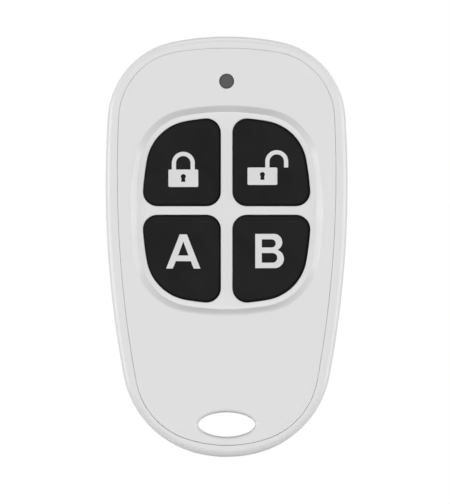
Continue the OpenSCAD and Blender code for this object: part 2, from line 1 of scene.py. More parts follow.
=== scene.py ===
# %% [markdown]
# # An alarm key fob
# This is a pocket remote control for an alarm: a white moulded case in two halves, four black silicone
# keys, a smoked lamp window and a hole for a key ring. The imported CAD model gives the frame, so every size
# and place below is in the same frame and in metres, with the back of the fob at z = 0 and the keys facing
# +Z. The inner pieces keep their CAD meshes and get finishes. The pieces that show are modelled here,
# because their soft edges, coves and printed legends are what makes them look moulded.

# %% Load the frame
import json
import math

import bpy
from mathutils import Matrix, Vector


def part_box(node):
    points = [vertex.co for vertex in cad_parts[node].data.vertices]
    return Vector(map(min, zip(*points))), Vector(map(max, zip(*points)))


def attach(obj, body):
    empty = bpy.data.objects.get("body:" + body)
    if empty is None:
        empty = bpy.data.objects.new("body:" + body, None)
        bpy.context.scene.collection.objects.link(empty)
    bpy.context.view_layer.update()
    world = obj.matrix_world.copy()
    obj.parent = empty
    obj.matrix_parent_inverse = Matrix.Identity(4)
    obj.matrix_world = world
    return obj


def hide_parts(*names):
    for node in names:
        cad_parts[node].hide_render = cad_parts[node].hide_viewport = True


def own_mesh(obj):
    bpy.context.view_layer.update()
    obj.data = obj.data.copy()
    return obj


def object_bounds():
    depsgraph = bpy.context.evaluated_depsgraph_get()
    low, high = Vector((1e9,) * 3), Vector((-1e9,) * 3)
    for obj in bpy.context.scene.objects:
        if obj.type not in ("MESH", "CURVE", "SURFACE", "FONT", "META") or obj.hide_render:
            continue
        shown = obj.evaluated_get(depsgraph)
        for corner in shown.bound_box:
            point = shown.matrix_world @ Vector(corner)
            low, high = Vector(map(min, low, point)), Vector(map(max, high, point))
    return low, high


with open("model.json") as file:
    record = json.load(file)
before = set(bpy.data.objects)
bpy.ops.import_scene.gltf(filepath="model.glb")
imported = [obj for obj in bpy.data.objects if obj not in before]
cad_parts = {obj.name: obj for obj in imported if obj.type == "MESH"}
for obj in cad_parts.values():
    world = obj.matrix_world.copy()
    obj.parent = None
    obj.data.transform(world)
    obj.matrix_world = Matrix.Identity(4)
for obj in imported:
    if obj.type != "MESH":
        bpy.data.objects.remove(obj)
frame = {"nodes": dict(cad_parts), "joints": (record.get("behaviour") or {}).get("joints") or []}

MM = 0.001
cad_low, cad_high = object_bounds()
print("CAD box in mm:", [round(v / MM, 2) for v in (*cad_low, *cad_high)])

# %% [markdown]
# ## Sizes from the frame
# Heights and reaches come from the CAD nodes' boxes, so the pieces modelled here fit the nodes that stay.
# The radii and margins that a box can't give are named in the cell that first needs them.

# %% Boxes of the CAD nodes
key_low, key_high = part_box("button_unlock")
door_low, door_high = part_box("battery_door")
window_low, window_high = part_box("led_window")
web_low, web_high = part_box("web_unlock")
shell_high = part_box("rear_shell")[1]
board_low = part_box("circuit_board")[0]
screw_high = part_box("case_screws")[1]
half_width = shell_high.x
half_length = shell_high.y
face_z = shell_high.z
mat_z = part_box("keypad_mat")[1].z
print(f"case {2 * half_width / MM:.1f} x {2 * half_length / MM:.1f} x {face_z / MM:.1f} mm")

# %% [markdown]
# ## Outlines as tangent arcs
# The case and the keys are drawn with arcs that meet smoothly. An arc is kept as its centre, radius, start
# and end angle. Moving an outline inwards only shortens the radii, because the centres stay, so the rim,
# the seam and the walls all follow one drawing.

# %% Helpers for arcs
TURN = 2 * math.pi
HALF_TURN = math.pi


def heading(start, end):
    """Direction from one point to another, in radians."""
    return math.atan2(end.y - start.y, end.x - start.x)


def meeting(centre_a, radius_a, centre_b, radius_b):
    """Meeting point of two circles, on the right of the way from the first centre to the second."""
    gap = centre_b - centre_a
    span = gap.length
    along = (radius_a ** 2 - radius_b ** 2 + span ** 2) / (2 * span)
    aside = math.sqrt(radius_a ** 2 - along ** 2)
    return centre_a + (along * gap + aside * Vector((gap.y, -gap.x))) / span


def flip(point):
    """The point mirrored to the left side."""
    return Vector((-point.x, point.y))


# %% [markdown]
# ### The case and the seam
# The case is egg-shaped. A flat arc closes the lamp end, tight shoulders lead into the long sides, and round
# corners lead into the key ring end. The seam has the same kind of outline with radii of its own, because
# the rim isn't equally wide all round.

# %% Arcs of the case and the seam
WIDEST_Y = 9.3 * MM
TOP_END_RADIUS = 40 * MM
SHOULDER_RADIUS = 12 * MM
SIDE_RADIUS = 152 * MM
RING_CORNER_RADIUS = 14.5 * MM
RING_END_FLATNESS = 0.15 * MM
SEAM_INSET = 1.73 * MM
SEAM_WIDEST_Y = 10.7 * MM
SEAM_TOP_RADIUS = 48 * MM
SEAM_SHOULDER_RADIUS = 10.1 * MM
SEAM_SIDE_RADIUS = 169 * MM
SEAM_CORNER_RADIUS = 11 * MM
SEAM_END_FLATNESS = 2.7 * MM


def outline_arcs(half_wide, top_y, end_y, widest_y, radii, flatness):
    """Tangent arcs round the case or the seam, the same on the left and on the right."""
    top_radius, shoulder_radius, side_radius, corner_radius = radii
    end_radius = half_wide + flatness
    top = Vector((0, top_y - top_radius))
    side = Vector((half_wide - side_radius, widest_y))
    end = Vector((0, end_y + end_radius))
    shoulder = meeting(top, top_radius - shoulder_radius, side, side_radius - shoulder_radius)
    corner = meeting(side, side_radius - corner_radius, end, end_radius - corner_radius)
    top_turn, shoulder_turn = heading(top, shoulder), heading(side, shoulder)
    side_turn, corner_turn = heading(side, corner), heading(end, corner)
    return [
        (top, top_radius, top_turn, HALF_TURN - top_turn),
        (flip(shoulder), shoulder_radius, HALF_TURN - top_turn, HALF_TURN - shoulder_turn),
        (flip(side), side_radius, HALF_TURN - shoulder_turn, HALF_TURN - side_turn),
        (flip(corner), corner_radius, HALF_TURN - side_turn, HALF_TURN - corner_turn),
        (end, end_radius, HALF_TURN - corner_turn, TURN + corner_turn),
        (corner, corner_radius, corner_turn, side_turn),
        (side, side_radius, side_turn, shoulder_turn),
        (shoulder, shoulder_radius, shoulder_turn, top_turn),
    ]


case_arcs = outline_arcs(
    half_width, half_length, cad_low.y, WIDEST_Y,
    (TOP_END_RADIUS, SHOULDER_RADIUS, SIDE_RADIUS, RING_CORNER_RADIUS), RING_END_FLATNESS
)
seam_arcs = outline_arcs(
    half_width - SEAM_INSET, half_length - SEAM_INSET, SEAM_INSET - half_length, SEAM_WIDEST_Y,
    (SEAM_TOP_RADIUS, SEAM_SHOULDER_RADIUS, SEAM_SIDE_RADIUS, SEAM_CORNER_RADIUS), SEAM_END_FLATNESS
)
shoulder_centre = case_arcs[-1][0]
print(f"shoulder centre at x {shoulder_centre.x / MM:.2f}, y {shoulder_centre.y / MM:.2f} mm")

# %% [markdown]
# ### The key group and one key
# The four keys together have one outline, which the recess follows too. The upper right key is the quarter
# of it that the two bars between the keys leave, with small round corners. The other keys mirror this one,
# so only one has to be worked out.

# %% Arcs of the key group
KEYS_Y = 5.35 * MM
KEY_GROUP_HALF_WIDTH = 12.415 * MM
KEY_GROUP_HALF_HEIGHT = 13.705 * MM
KEY_GROUP_SIDE_RADIUS = 42.3 * MM
KEY_GROUP_END_RADIUS = 34.4 * MM
KEY_OUTER_RADIUS = 7.08 * MM
group_end_centre = Vector((0, KEY_GROUP_HALF_HEIGHT - KEY_GROUP_END_RADIUS))
group_side_centre = Vector((KEY_GROUP_HALF_WIDTH - KEY_GROUP_SIDE_RADIUS, 0))
group_corner = meeting(
    group_end_centre, KEY_GROUP_END_RADIUS - KEY_OUTER_RADIUS,
    group_side_centre, KEY_GROUP_SIDE_RADIUS - KEY_OUTER_RADIUS
)
end_turn = heading(group_end_centre, group_corner)
flank_turn = heading(group_side_centre, group_corner)
group_arcs = [
    (group_end_centre, KEY_GROUP_END_RADIUS, end_turn, HALF_TURN - end_turn),
    (flip(group_corner), KEY_OUTER_RADIUS, HALF_TURN - end_turn, HALF_TURN - flank_turn),
    (flip(group_side_centre), KEY_GROUP_SIDE_RADIUS, HALF_TURN - flank_turn, HALF_TURN + flank_turn),
    (-group_corner, KEY_OUTER_RADIUS, HALF_TURN + flank_turn, HALF_TURN + end_turn),
    (-group_end_centre, KEY_GROUP_END_RADIUS, HALF_TURN + end_turn, TURN - end_turn),
    (-flip(group_corner), KEY_OUTER_RADIUS, TURN - end_turn, TURN - flank_turn),
    (group_side_centre, KEY_GROUP_SIDE_RADIUS, -flank_turn, flank_turn),
    (group_corner, KEY_OUTER_RADIUS, flank_turn, end_turn),
]
print(f"key group corner at x {group_corner.x / MM:.2f}, y {group_corner.y / MM:.2f} mm from its middle")

# %% Arcs of the upper right key
KEY_CORNER_RADIUS = 2.13 * MM
UPRIGHT_BAR = 1.73 * MM
LEVEL_BAR = 1.29 * MM
THREE_QUARTER_TURN = 1.5 * HALF_TURN
key_inner = Vector((UPRIGHT_BAR / 2 + KEY_CORNER_RADIUS, LEVEL_BAR / 2 + KEY_CORNER_RADIUS))
end_reach = KEY_GROUP_END_RADIUS - KEY_CORNER_RADIUS
side_reach = KEY_GROUP_SIDE_RADIUS - KEY_CORNER_RADIUS
key_top_corner = Vector(
    (key_inner.x, group_end_centre.y + math.sqrt(end_reach ** 2 - key_inner.x ** 2))
)
key_side_corner = Vector(
    (group_side_centre.x + math.sqrt(side_reach ** 2 - key_inner.y ** 2), key_inner.y)
)
key_end_turn = heading(group_end_centre, key_top_corner)
key_side_turn = heading(group_side_centre, key_side_corner)
key_arcs = [
    (group_end_centre, KEY_GROUP_END_RADIUS, end_turn, key_end_turn),
    (key_top_corner, KEY_CORNER_RADIUS, key_end_turn, HALF_TURN),
    (key_inner, KEY_CORNER_RADIUS, HALF_TURN, THREE_QUARTER_TURN),
    (key_side_corner, KEY_CORNER_RADIUS, THREE_QUARTER_TURN, TURN + key_side_turn),
    (group_side_centre, KEY_GROUP_SIDE_RADIUS, key_side_turn, flank_turn),
    (group_corner, KEY_OUTER_RADIUS, flank_turn, end_turn),
]
print("one key is drawn with", len(key_arcs), "arcs")

# %% [markdown]
# ## Drawing with a pen of operators
# A plane is merged to one loose point, which then draws: an extrude makes a straight line and a spin makes
# an arc. The closed line is filled with one face. This is how one would trace an outline by hand, and the
# number of steps on each arc follows from how far a straight step may stray from it.

# %% The pen
STRAY = 0.002 * MM
WELD = 0.0005 * MM


def put_down():
    """Leave edit mode and select nothing."""
    if bpy.context.object is not None and bpy.context.object.mode == "EDIT":
        bpy.ops.object.mode_set(mode="OBJECT")
    bpy.ops.object.select_all(action="DESELECT")


def pen_start(name, x, y, z):
    """A new piece in edit mode, with one selected point."""
    put_down()
    bpy.ops.mesh.primitive_plane_add(size=MM)
    piece = bpy.context.object
    piece.name = name
    bpy.ops.object.mode_set(mode="EDIT")
    bpy.ops.mesh.select_mode(type="VERT")
    bpy.ops.mesh.merge(type="CENTER")
    bpy.ops.transform.translate(value=(x, y, z))
    return piece


def pen_line(dx, dy):
    """Draw a straight line from the selected point."""
    bpy.ops.mesh.extrude_region_move(TRANSFORM_OT_translate={"value": (dx, dy, 0)})


def pen_arc(x, y, radius, sweep):
    """Draw an arc about (x, y), counter-clockwise where the sweep is positive."""
    step = 2 * math.acos(1 - STRAY / radius)
    steps = max(3, math.ceil(abs(sweep) / step))
    bpy.ops.mesh.spin(steps=steps, angle=-sweep, center=(x, y, 0), axis=(0, 0, 1))


def pen_fill(piece):
    """Close the line, fill it and turn the face to +Z."""
    bpy.ops.mesh.select_all(action="SELECT")
    bpy.ops.mesh.remove_doubles(threshold=WELD)
    bpy.ops.mesh.edge_face_add()
    piece.update_from_editmode()
    if piece.data.polygons[0].normal.z < 0:
        bpy.ops.mesh.flip_normals()
    return piece


def on_arc(centre, radius, turn):
    """The point of a circle at an angle."""
    return centre + radius * Vector((math.cos(turn), math.sin(turn)))


def drawn_face(name, arcs, inset, z, centre_y=0.0):
    """A filled outline of arcs and the straight lines between them, left selected in edit mode."""
    middle = Vector((0, centre_y))
    centre, radius, start, _ = arcs[0]
    here = on_arc(centre + middle, radius - inset, start)
    piece = pen_start(name, here.x, here.y, z)
    for centre, radius, start, end in arcs:
        begin = on_arc(centre + middle, radius - inset, start)
        if (begin - here).length > WELD:
            pen_line(begin.x - here.x, begin.y - here.y)
        pen_arc(centre.x, centre.y + centre_y, radius - inset, end - start)
        here = on_arc(centre + middle, radius - inset, end)
    return pen_fill(piece)


def drawn_circle(name, radius, x, y, z):
    """A filled circle, left selected in edit mode."""
    piece = pen_start(name, x + radius, y, z)
    pen_arc(x, y, radius, HALF_TURN)
    pen_arc(x, y, radius, HALF_TURN)
    return pen_fill(piece)


# %% [markdown]
# ## Shaping with inset and extrude
# An inset makes a smaller face inside the selected one and can lift it in the same move. A chain of small
# insets turns a square edge into a round one, which stays even all the way round the outline. A Bevel
# modifier could do that too, but on long faces with many corners a chain of insets gives cleaner strips.

# %% Moves for a selected end face
LEVEL_NORMAL = 0.9


def rise(height):
    """Extrude the selected face along Z."""
    bpy.ops.mesh.extrude_region_move(TRANSFORM_OT_translate={"value": (0, 0, height)})


def step_in(inward, outward=0.0):
    """Inset the selected face and move it along its normal."""
    bpy.ops.mesh.inset(thickness=inward, depth=outward)


def ease(radius, start, end, steps):
    """Insets along an arc, from one slope to another. 90 degrees is the way along the normal."""
    bend = 1 if end > start else -1
    for i in range(steps):
        here = math.radians(start + (end - start) * i / steps)
        there = math.radians(start + (end - start) * (i + 1) / steps)
        step_in(
            bend * radius * (math.sin(there) - math.sin(here)),
            bend * radius * (math.cos(here) - math.cos(there)),
        )


def pick_faces(piece, wanted):
    """Select the faces that pass a test of their centre and normal."""
    bpy.ops.mesh.select_mode(type="FACE")
    bpy.ops.mesh.select_all(action="DESELECT")
    bpy.ops.object.mode_set(mode="OBJECT")
    for face in piece.data.polygons:
        face.select = wanted(face.center, face.normal)
    bpy.ops.object.mode_set(mode="EDIT")


def pick_back(piece, z):
    """Select the lowest face, which looks down."""
    pick_faces(piece, lambda centre, normal: normal.z < -LEVEL_NORMAL and abs(centre.z - z) < WELD)


# %% [markdown]
# ## Carving, joining and smoothing
# Openings are cut with Boolean modifiers that are applied at once. The cutter carries the soft edge of the
# opening, so the edge is already round after the cut. Then the piece is shaded smooth by angle, and a
# Weighted Normal modifier keeps the flat faces flat right up to their round edges.

# %% Boolean and shading helpers
SMOOTH_ANGLE = math.radians(35)


def use(piece, other, operation):
    """Cut the other piece away, or join it on, and throw it away."""
    put_down()
    bpy.context.view_layer.objects.active = piece
    modifier = piece.modifiers.new(operation.lower(), "BOOLEAN")
    modifier.object = other
    modifier.operation = operation
    modifier.solver = "EXACT"
    bpy.ops.object.modifier_apply(modifier=modifier.name)
    bpy.data.objects.remove(other)


def carve(piece, cutter):
    """Cut an opening."""
    use(piece, cutter, "DIFFERENCE")


def join_on(piece, extra):
    """Weld another form to a piece."""
    use(piece, extra, "UNION")


def finish_mesh(piece):
    """Merge stray points, turn faces outwards and shade the piece."""
    put_down()
    bpy.context.view_layer.objects.active = piece
    piece.select_set(True)
    bpy.ops.object.mode_set(mode="EDIT")
    bpy.ops.mesh.select_all(action="SELECT")
    bpy.ops.mesh.remove_doubles(threshold=WELD)
    bpy.ops.mesh.normals_make_consistent(inside=False)
    bpy.ops.object.mode_set(mode="OBJECT")
    bpy.ops.object.shade_smooth_by_angle(angle=SMOOTH_ANGLE)
    modifier = piece.modifiers.new("even shading", "WEIGHTED_NORMAL")
    modifier.keep_sharp = True
    bpy.ops.object.modifier_apply(modifier=modifier.name)
    triangles = sum(len(face.vertices) - 2 for face in piece.data.polygons)
    print(f"{piece.name}: {triangles} triangles")
    return piece


def copied(piece, name):
    """A copy with its own mesh."""
    put_down()
    bpy.context.view_layer.objects.active = piece
    piece.select_set(True)
    bpy.ops.object.duplicate(linked=False)
    other = bpy.context.object
    other.name = name
    return other


# %% [markdown]
# ## Rear shell
# The back of the case is a tub. Its rim frames the front plate, its floor carries the battery door, three
# screw posts and the tube of the key ring hole. It starts as the case outline, rises to the front edge and
# rounds over. The back edge is the same move on the face underneath. The opening for the plate has an
# outline of its own, with tighter corners than the case, so it is cut by a second drawing, whose flare
# leaves a soft lip on the rim. A third one hollows the tub below the ledge that the plate lies on.

# %% Tub with its rim
FRONT_EDGE_RADIUS = 1.2 * MM
BACK_EDGE_RADIUS = 3.6 * MM
FLOOR_THICKNESS = 1.6 * MM
COVER_THICKNESS = 1.8 * MM
LEDGE_WIDTH = 1.2 * MM
SEAM_GAP = 0.032 * MM
RIM_LIP_RADIUS = 0.04 * MM
CUT = 0.5 * MM
cover_z = face_z - COVER_THICKNESS


def lipped_cutter(draw, end_z, outside, lip, depth):
    """Cutter that starts outside a face at end_z and goes in, with a flare that leaves a round lip."""
    cutter = draw(lip, end_z + outside * CUT)
    if outside > 0:
        bpy.ops.mesh.flip_normals()
    rise(-outside * CUT)
    ease(lip, 0, 90, steps=4)
    rise(-outside * (depth - lip))
    return cutter


def plate_opening(grow, z):
    """The outline of the opening for the plate, grown all round."""
    return drawn_face("plate_opening", seam_arcs, -SEAM_GAP / 2 - grow, z)


shell = drawn_face("rear_shell_moulding", case_arcs, 0, BACK_EDGE_RADIUS)
rise(face_z - FRONT_EDGE_RADIUS - BACK_EDGE_RADIUS)
ease(FRONT_EDGE_RADIUS, 90, 0, steps=10)
pick_back(shell, BACK_EDGE_RADIUS)
ease(BACK_EDGE_RADIUS, 90, 0, steps=12)
carve(shell, lipped_cutter(plate_opening, face_z, 1, RIM_LIP_RADIUS, COVER_THICKNESS))
hollow = drawn_face("hollow", case_arcs, SEAM_INSET + LEDGE_WIDTH, FLOOR_THICKNESS)
rise(cover_z + CUT - FLOOR_THICKNESS)
carve(shell, hollow)
print("tub faces:", len(shell.data.polygons))

# %% [markdown]
# ### Posts and key ring tube
# Three posts take the screws, and a tube lines the way of the key ring through the case. They stand on the
# floor of the tub. Each is drawn with the pen, raised and welded on with a Boolean, so that no seam shows
# where it meets the floor.

# %% Posts and tube
OVERLAP = 0.2 * MM
POST_RADIUS = 3.2 * MM
SCREW_FROM_SHOULDER = 5.6 * MM
SCREW_OVER_RING_HOLE = 8.7 * MM
RING_HOLE_ABOVE_END = 4.8 * MM
RING_HOLE_HALF_WIDTH = 4.2 * MM
RING_HOLE_HALF_HEIGHT = 1.8 * MM
RING_HOLE_RELIEF = 0.2 * MM
RING_HOLE_WALL = 1.0 * MM
ring_hole_y = RING_HOLE_ABOVE_END - half_length
diagonal = math.sqrt(0.5)
upper_screw = shoulder_centre + SCREW_FROM_SHOULDER * Vector((diagonal, diagonal))
screw_places = [upper_screw, flip(upper_screw), Vector((0, ring_hole_y + SCREW_OVER_RING_HOLE))]


def drawn_oval(name, grow, z):
    """A filled oval of the key ring hole, grown all round, left selected in edit mode."""
    wide = RING_HOLE_HALF_WIDTH + grow
    high = RING_HOLE_HALF_HEIGHT + grow
    piece = drawn_circle(name, wide, 0, 0, z)
    bpy.ops.mesh.select_all(action="SELECT")
    bpy.ops.transform.resize(value=(1, high / wide, 1), center_override=(0, 0, z))
    bpy.ops.transform.translate(value=(0, ring_hole_y, 0))
    return piece


for place in screw_places:
    post = drawn_circle("post", POST_RADIUS, place.x, place.y, FLOOR_THICKNESS - OVERLAP)
    rise(board_low.z - FLOOR_THICKNESS + OVERLAP)
    join_on(shell, post)
tube = drawn_oval("tube", RING_HOLE_RELIEF + RING_HOLE_WALL, FLOOR_THICKNESS - OVERLAP)
rise(cover_z - FLOOR_THICKNESS + OVERLAP)
join_on(shell, tube)
print("tub faces with posts and tube:", len(shell.data.polygons))

# %% [markdown]
# ### Key ring hole
# The oval hole goes through both mouldings, with a round lip at each end over which a ring slides easily. It
# is cut after the tube is welded on, so that one cutter goes through both. In the shell it is a little
# larger than in the plate, so that a small step between the mouldings stays out of sight.

# %% Key ring hole through the shell
RING_HOLE_LIP = 0.55 * MM


def ring_hole(relief):
    """A way to draw the key ring hole, for a lipped cutter."""
    return lambda grow, z: drawn_oval("ring_hole", grow + relief, z)


carve(shell, lipped_cutter(ring_hole(RING_HOLE_RELIEF), 0, -1, RING_HOLE_LIP, face_z))
print("key ring hole cut at y =", round(ring_hole_y / MM, 2), "mm")

# %% [markdown]
# ### Door seat and lug notches
# The battery door turns in a round seat. Three notches let its lugs pass when it is turned open. A notch is
# a ring sector: a rectangle in the XZ plane that is spun about the door's axis, which gives its curved walls
# in one move.

# %% Door seat and notches
DOOR_Y = KEYS_Y
CUP_RADIUS = 10.3 * MM
PLUG_RADIUS = 10.85 * MM
LUG_RADIUS = 12.2 * MM
RUNNING_GAP = 0.1 * MM
DOOR_SEAT_DEPTH = 0.9 * MM
SOFT_LIP = 0.15 * MM
LUG_COUNT = 3
LUG_ANGLE = 24
NOTCH_SLACK = 2
SECTOR_STEPS = 16
door_middle = Vector((0, DOOR_Y))
flange_radius = door_high.x
joints = {joint["name"]: joint for joint in frame["joints"]}
door_turn = joints["door_twist"]["range_deg"][1]
first_lug = 90 - LUG_ANGLE / 2


def disc_at(place, radius):
    """A way to draw a circle at a place, for a lipped cutter."""
    return lambda grow, z: drawn_circle("disc", radius + grow, place.x, place.y, z)


def ring_sector(name, inner, outer, low, high, start, sweep):
    """A ring sector about the door's axis, from a start angle over a sweep, in degrees."""
    put_down()
    bpy.ops.mesh.primitive_plane_add(size=1, rotation=(HALF_TURN / 2, 0, 0))
    piece = bpy.context.object
    piece.name = name
    bpy.ops.object.transform_apply(rotation=True)
    bpy.ops.object.mode_set(mode="EDIT")
    bpy.ops.mesh.select_mode(type="VERT")
    bpy.ops.transform.resize(value=(outer - inner, 1, high - low))
    bpy.ops.transform.translate(value=((inner + outer) / 2, 0, (low + high) / 2))
    bpy.ops.mesh.spin(steps=SECTOR_STEPS, angle=-math.radians(sweep), center=(0, 0, 0), axis=(0, 0, 1))
    bpy.ops.mesh.select_all(action="SELECT")
    bpy.ops.mesh.normals_make_consistent(inside=False)
    bpy.ops.object.mode_set(mode="OBJECT")
    piece.rotation_euler.z = math.radians(start)
    piece.location.y = DOOR_Y
    bpy.ops.object.transform_apply(location=True, rotation=True)
    return piece


door_seat = disc_at(door_middle, flange_radius + RUNNING_GAP)
carve(shell, lipped_cutter(door_seat, 0, -1, SOFT_LIP, DOOR_SEAT_DEPTH))
door_hole = disc_at(door_middle, PLUG_RADIUS + RUNNING_GAP)
carve(shell, lipped_cutter(door_hole, DOOR_SEAT_DEPTH, -1, SOFT_LIP / 2, FLOOR_THICKNESS))
for i in range(LUG_COUNT):
    notch_start = first_lug - door_turn - NOTCH_SLACK + 360 / LUG_COUNT * i
    notch = ring_sector(
        "notch", PLUG_RADIUS - OVERLAP, LUG_RADIUS + RUNNING_GAP,
        CUT, FLOOR_THICKNESS + CUT, notch_start, LUG_ANGLE + 2 * NOTCH_SLACK
    )
    carve(shell, notch)
print(f"door seat radius {(flange_radius + RUNNING_GAP) / MM:.2f} mm, door turns {door_turn:.0f} degrees")

# %% [markdown]
# ### Screw wells and door marks
# The screw heads sink into wells, so that the back lies flat on a table. A well is a wide cutter for the
# head and a narrow one for the shank. Two sunk marks beside the seat show the closed and the open place of
# the door's pointer, and the closed one has a pip in it, so that a finger can tell them apart.

# %% Screw wells and door marks
SCREW_GAP = 0.15 * MM
SCREW_HEAD_RADIUS = 1.9 * MM
SCREW_RADIUS = 0.95 * MM
SCREW_SEAT_Z = 2.4 * MM
MARK_RADIUS = 0.55 * MM
MARK_DEPTH = 0.14 * MM
MARK_FROM_DOOR = 14.6 * MM
CLOSED_MARK_TURN = 90
for place in screw_places:
    head_well = disc_at(place, SCREW_HEAD_RADIUS + SCREW_GAP)
    carve(shell, lipped_cutter(head_well, 0, -1, SOFT_LIP, SCREW_SEAT_Z))
    shank_well = disc_at(place, SCREW_RADIUS + SCREW_GAP)
    carve(shell, lipped_cutter(shank_well, SCREW_SEAT_Z, -1, SOFT_LIP / 2, cover_z))
for mark_turn in (CLOSED_MARK_TURN, CLOSED_MARK_TURN - door_turn):
    direction = Vector((math.cos(math.radians(mark_turn)), math.sin(math.radians(mark_turn))))
    place = door_middle + MARK_FROM_DOOR * direction
    carve(shell, lipped_cutter(disc_at(place, MARK_RADIUS), 0, -1, MARK_DEPTH / 2, MARK_DEPTH))
    if mark_turn == CLOSED_MARK_TURN:
        pip = drawn_circle("pip", MARK_RADIUS / 2, place.x, place.y, MARK_DEPTH / 4)
        rise(MARK_DEPTH)
        join_on(shell, pip)
finish_mesh(shell)

# %% [markdown]
# ## Front plate
# The plate lies inside the rim on the ledge, with a thin seam all round. It could be cut from the shell's
# own face, but a separate moulding with a tiny round edge gives the seam its soft grey line. It sits a hair
# nearer the lamp end, so the seam is widest at the key ring end.

# %% Plate
COVER_EDGE_RADIUS = 0.05 * MM
PLATE_SHIFT = 0.018 * MM
plate = drawn_face("front_plate", seam_arcs, SEAM_GAP / 2, cover_z, PLATE_SHIFT)
rise(COVER_THICKNESS - COVER_EDGE_RADIUS)
ease(COVER_EDGE_RADIUS, 90, 0, steps=5)
print(f"seam {SEAM_GAP / MM:.3f} mm, wider by {PLATE_SHIFT / MM:.3f} mm at the key ring end")

# %% [markdown]
# ### Rib and bosses under the plate
# A rib under the plate presses the edge of the rubber mat down, and three bosses take the screws. They stay
# out of sight in the closed case, but hold the parts of a real one together, so they are made as in the CAD
# model: drawn with the pen, hollowed and welded on.

# %% Mat rib and screw bosses under the plate
MAT_MARGIN = 1.4 * MM
MAT_RIB = 0.7 * MM
BOSS_RADIUS = 2.0 * MM
PILOT_GAP = 0.05 * MM
rib = drawn_face("rib", group_arcs, -MAT_MARGIN, mat_z, KEYS_Y)
rise(cover_z + OVERLAP - mat_z)
rib_space = drawn_face("rib_space", group_arcs, MAT_RIB - MAT_MARGIN, mat_z - CUT, KEYS_Y)
rise(cover_z - mat_z + CUT)
carve(rib, rib_space)
join_on(plate, rib)
for place in screw_places:
    boss = drawn_circle("boss", BOSS_RADIUS, place.x, place.y, board_low.z)
    rise(cover_z + OVERLAP - board_low.z)
    join_on(plate, boss)
    pilot = drawn_circle("pilot", SCREW_RADIUS + PILOT_GAP, place.x, place.y, board_low.z - CUT)
    rise(cover_z - OVERLAP - board_low.z + CUT)
    carve(plate, pilot)
print("plate faces with rib and bosses:", len(plate.data.polygons))

# %% [markdown]
# ### Recess
# A shallow recess with a sloping border holds the keys. It is one cutter: the key group's outline, drawn
# larger, goes down along a small round, the slope and a small cove to the recess floor. Sharp corners there
# would catch no light, so the round and the cove are part of the cutter.

# %% Recess round the keys
RECESS_DEPTH = 1.0 * MM
RECESS_MARGIN = 0.82 * MM
RECESS_BEVEL = 0.96 * MM
RECESS_ROUND = 0.35 * MM
RECESS_COVE = 0.06 * MM
recess_z = face_z - RECESS_DEPTH
slope = math.degrees(math.atan2(RECESS_DEPTH, RECESS_BEVEL))
slope_length = math.hypot(RECESS_DEPTH, RECESS_BEVEL)
round_reach = RECESS_ROUND * math.tan(math.radians(slope / 2))
cove_reach = RECESS_COVE * math.tan(math.radians(slope / 2))
straight = slope_length - round_reach - cove_reach
recess = drawn_face(
    "recess", group_arcs, -RECESS_MARGIN - RECESS_BEVEL - round_reach, face_z + CUT, KEYS_Y
)
bpy.ops.mesh.flip_normals()
rise(-CUT)
ease(RECESS_ROUND, 0, slope, steps=5)
step_in(straight * math.cos(math.radians(slope)), straight * math.sin(math.radians(slope)))
ease(RECESS_COVE, slope, 0, steps=5)
carve(plate, recess)
print(f"recess slope {slope:.1f} degrees")

# %% [markdown]
# ### Openings in the plate
# The upper right key opening is drawn once. Its copies are mirrored about the middle of the key group and
# turned right side out again, because a mirror turns a mesh inside out. The lamp hole and the upper end of
# the key ring hole are cut in the same way.

# %% Key openings, lamp hole and key ring hole
KEY_OPENING_LIP = 0.12 * MM
LAMP_LIP = 0.12 * MM
LAMP_GAP = 0.05 * MM
LAMP_RADIUS = 1.04 * MM
CORNERS = {"lock": (-1, 1), "unlock": (1, 1), "a": (-1, -1), "b": (1, -1)}
lamp_y = (window_low.y + window_high.y) / 2


def mirrored(piece, name, side, end):
    """A copy of an upper right piece at another corner of the key group."""
    other = copied(piece, name)
    bpy.ops.object.mode_set(mode="EDIT")
    bpy.ops.mesh.select_all(action="SELECT")
    bpy.ops.transform.resize(value=(side, end, 1), center_override=(0, KEYS_Y, 0))
    bpy.ops.mesh.normals_make_consistent(inside=False)
    bpy.ops.object.mode_set(mode="OBJECT")
    return other


def key_opening_outline(grow, z):
    """The outline of the upper right key opening, grown all round."""
    return drawn_face("key_opening", key_arcs, -grow, z, KEYS_Y)


opening = lipped_cutter(key_opening_outline, recess_z, 1, KEY_OPENING_LIP, COVER_THICKNESS)
put_down()
for name, (side, end) in CORNERS.items():
    carve(plate, mirrored(opening, "opening_" + name, side, end))
bpy.data.objects.remove(opening)
lamp_hole = disc_at(Vector((0, lamp_y)), LAMP_RADIUS + LAMP_GAP)
carve(plate, lipped_cutter(lamp_hole, face_z, 1, LAMP_LIP, COVER_THICKNESS + CUT))
carve(plate, lipped_cutter(ring_hole(0), face_z, 1, RING_HOLE_LIP, COVER_THICKNESS + CUT))
finish_mesh(plate)

# %% [markdown]
# ## Keys
# Each key is a silicone block with a foot that keeps it behind the plate, and a stem that presses the
# contact. It starts at the foot, steps in to the cap, rises through the opening and rounds over. The top
# stays a hair below the CAD height, so that the printed legend on it stays inside the object's box. The
# keys sit a little towards the upper left of their openings, which leaves a darker gap on the other sides.

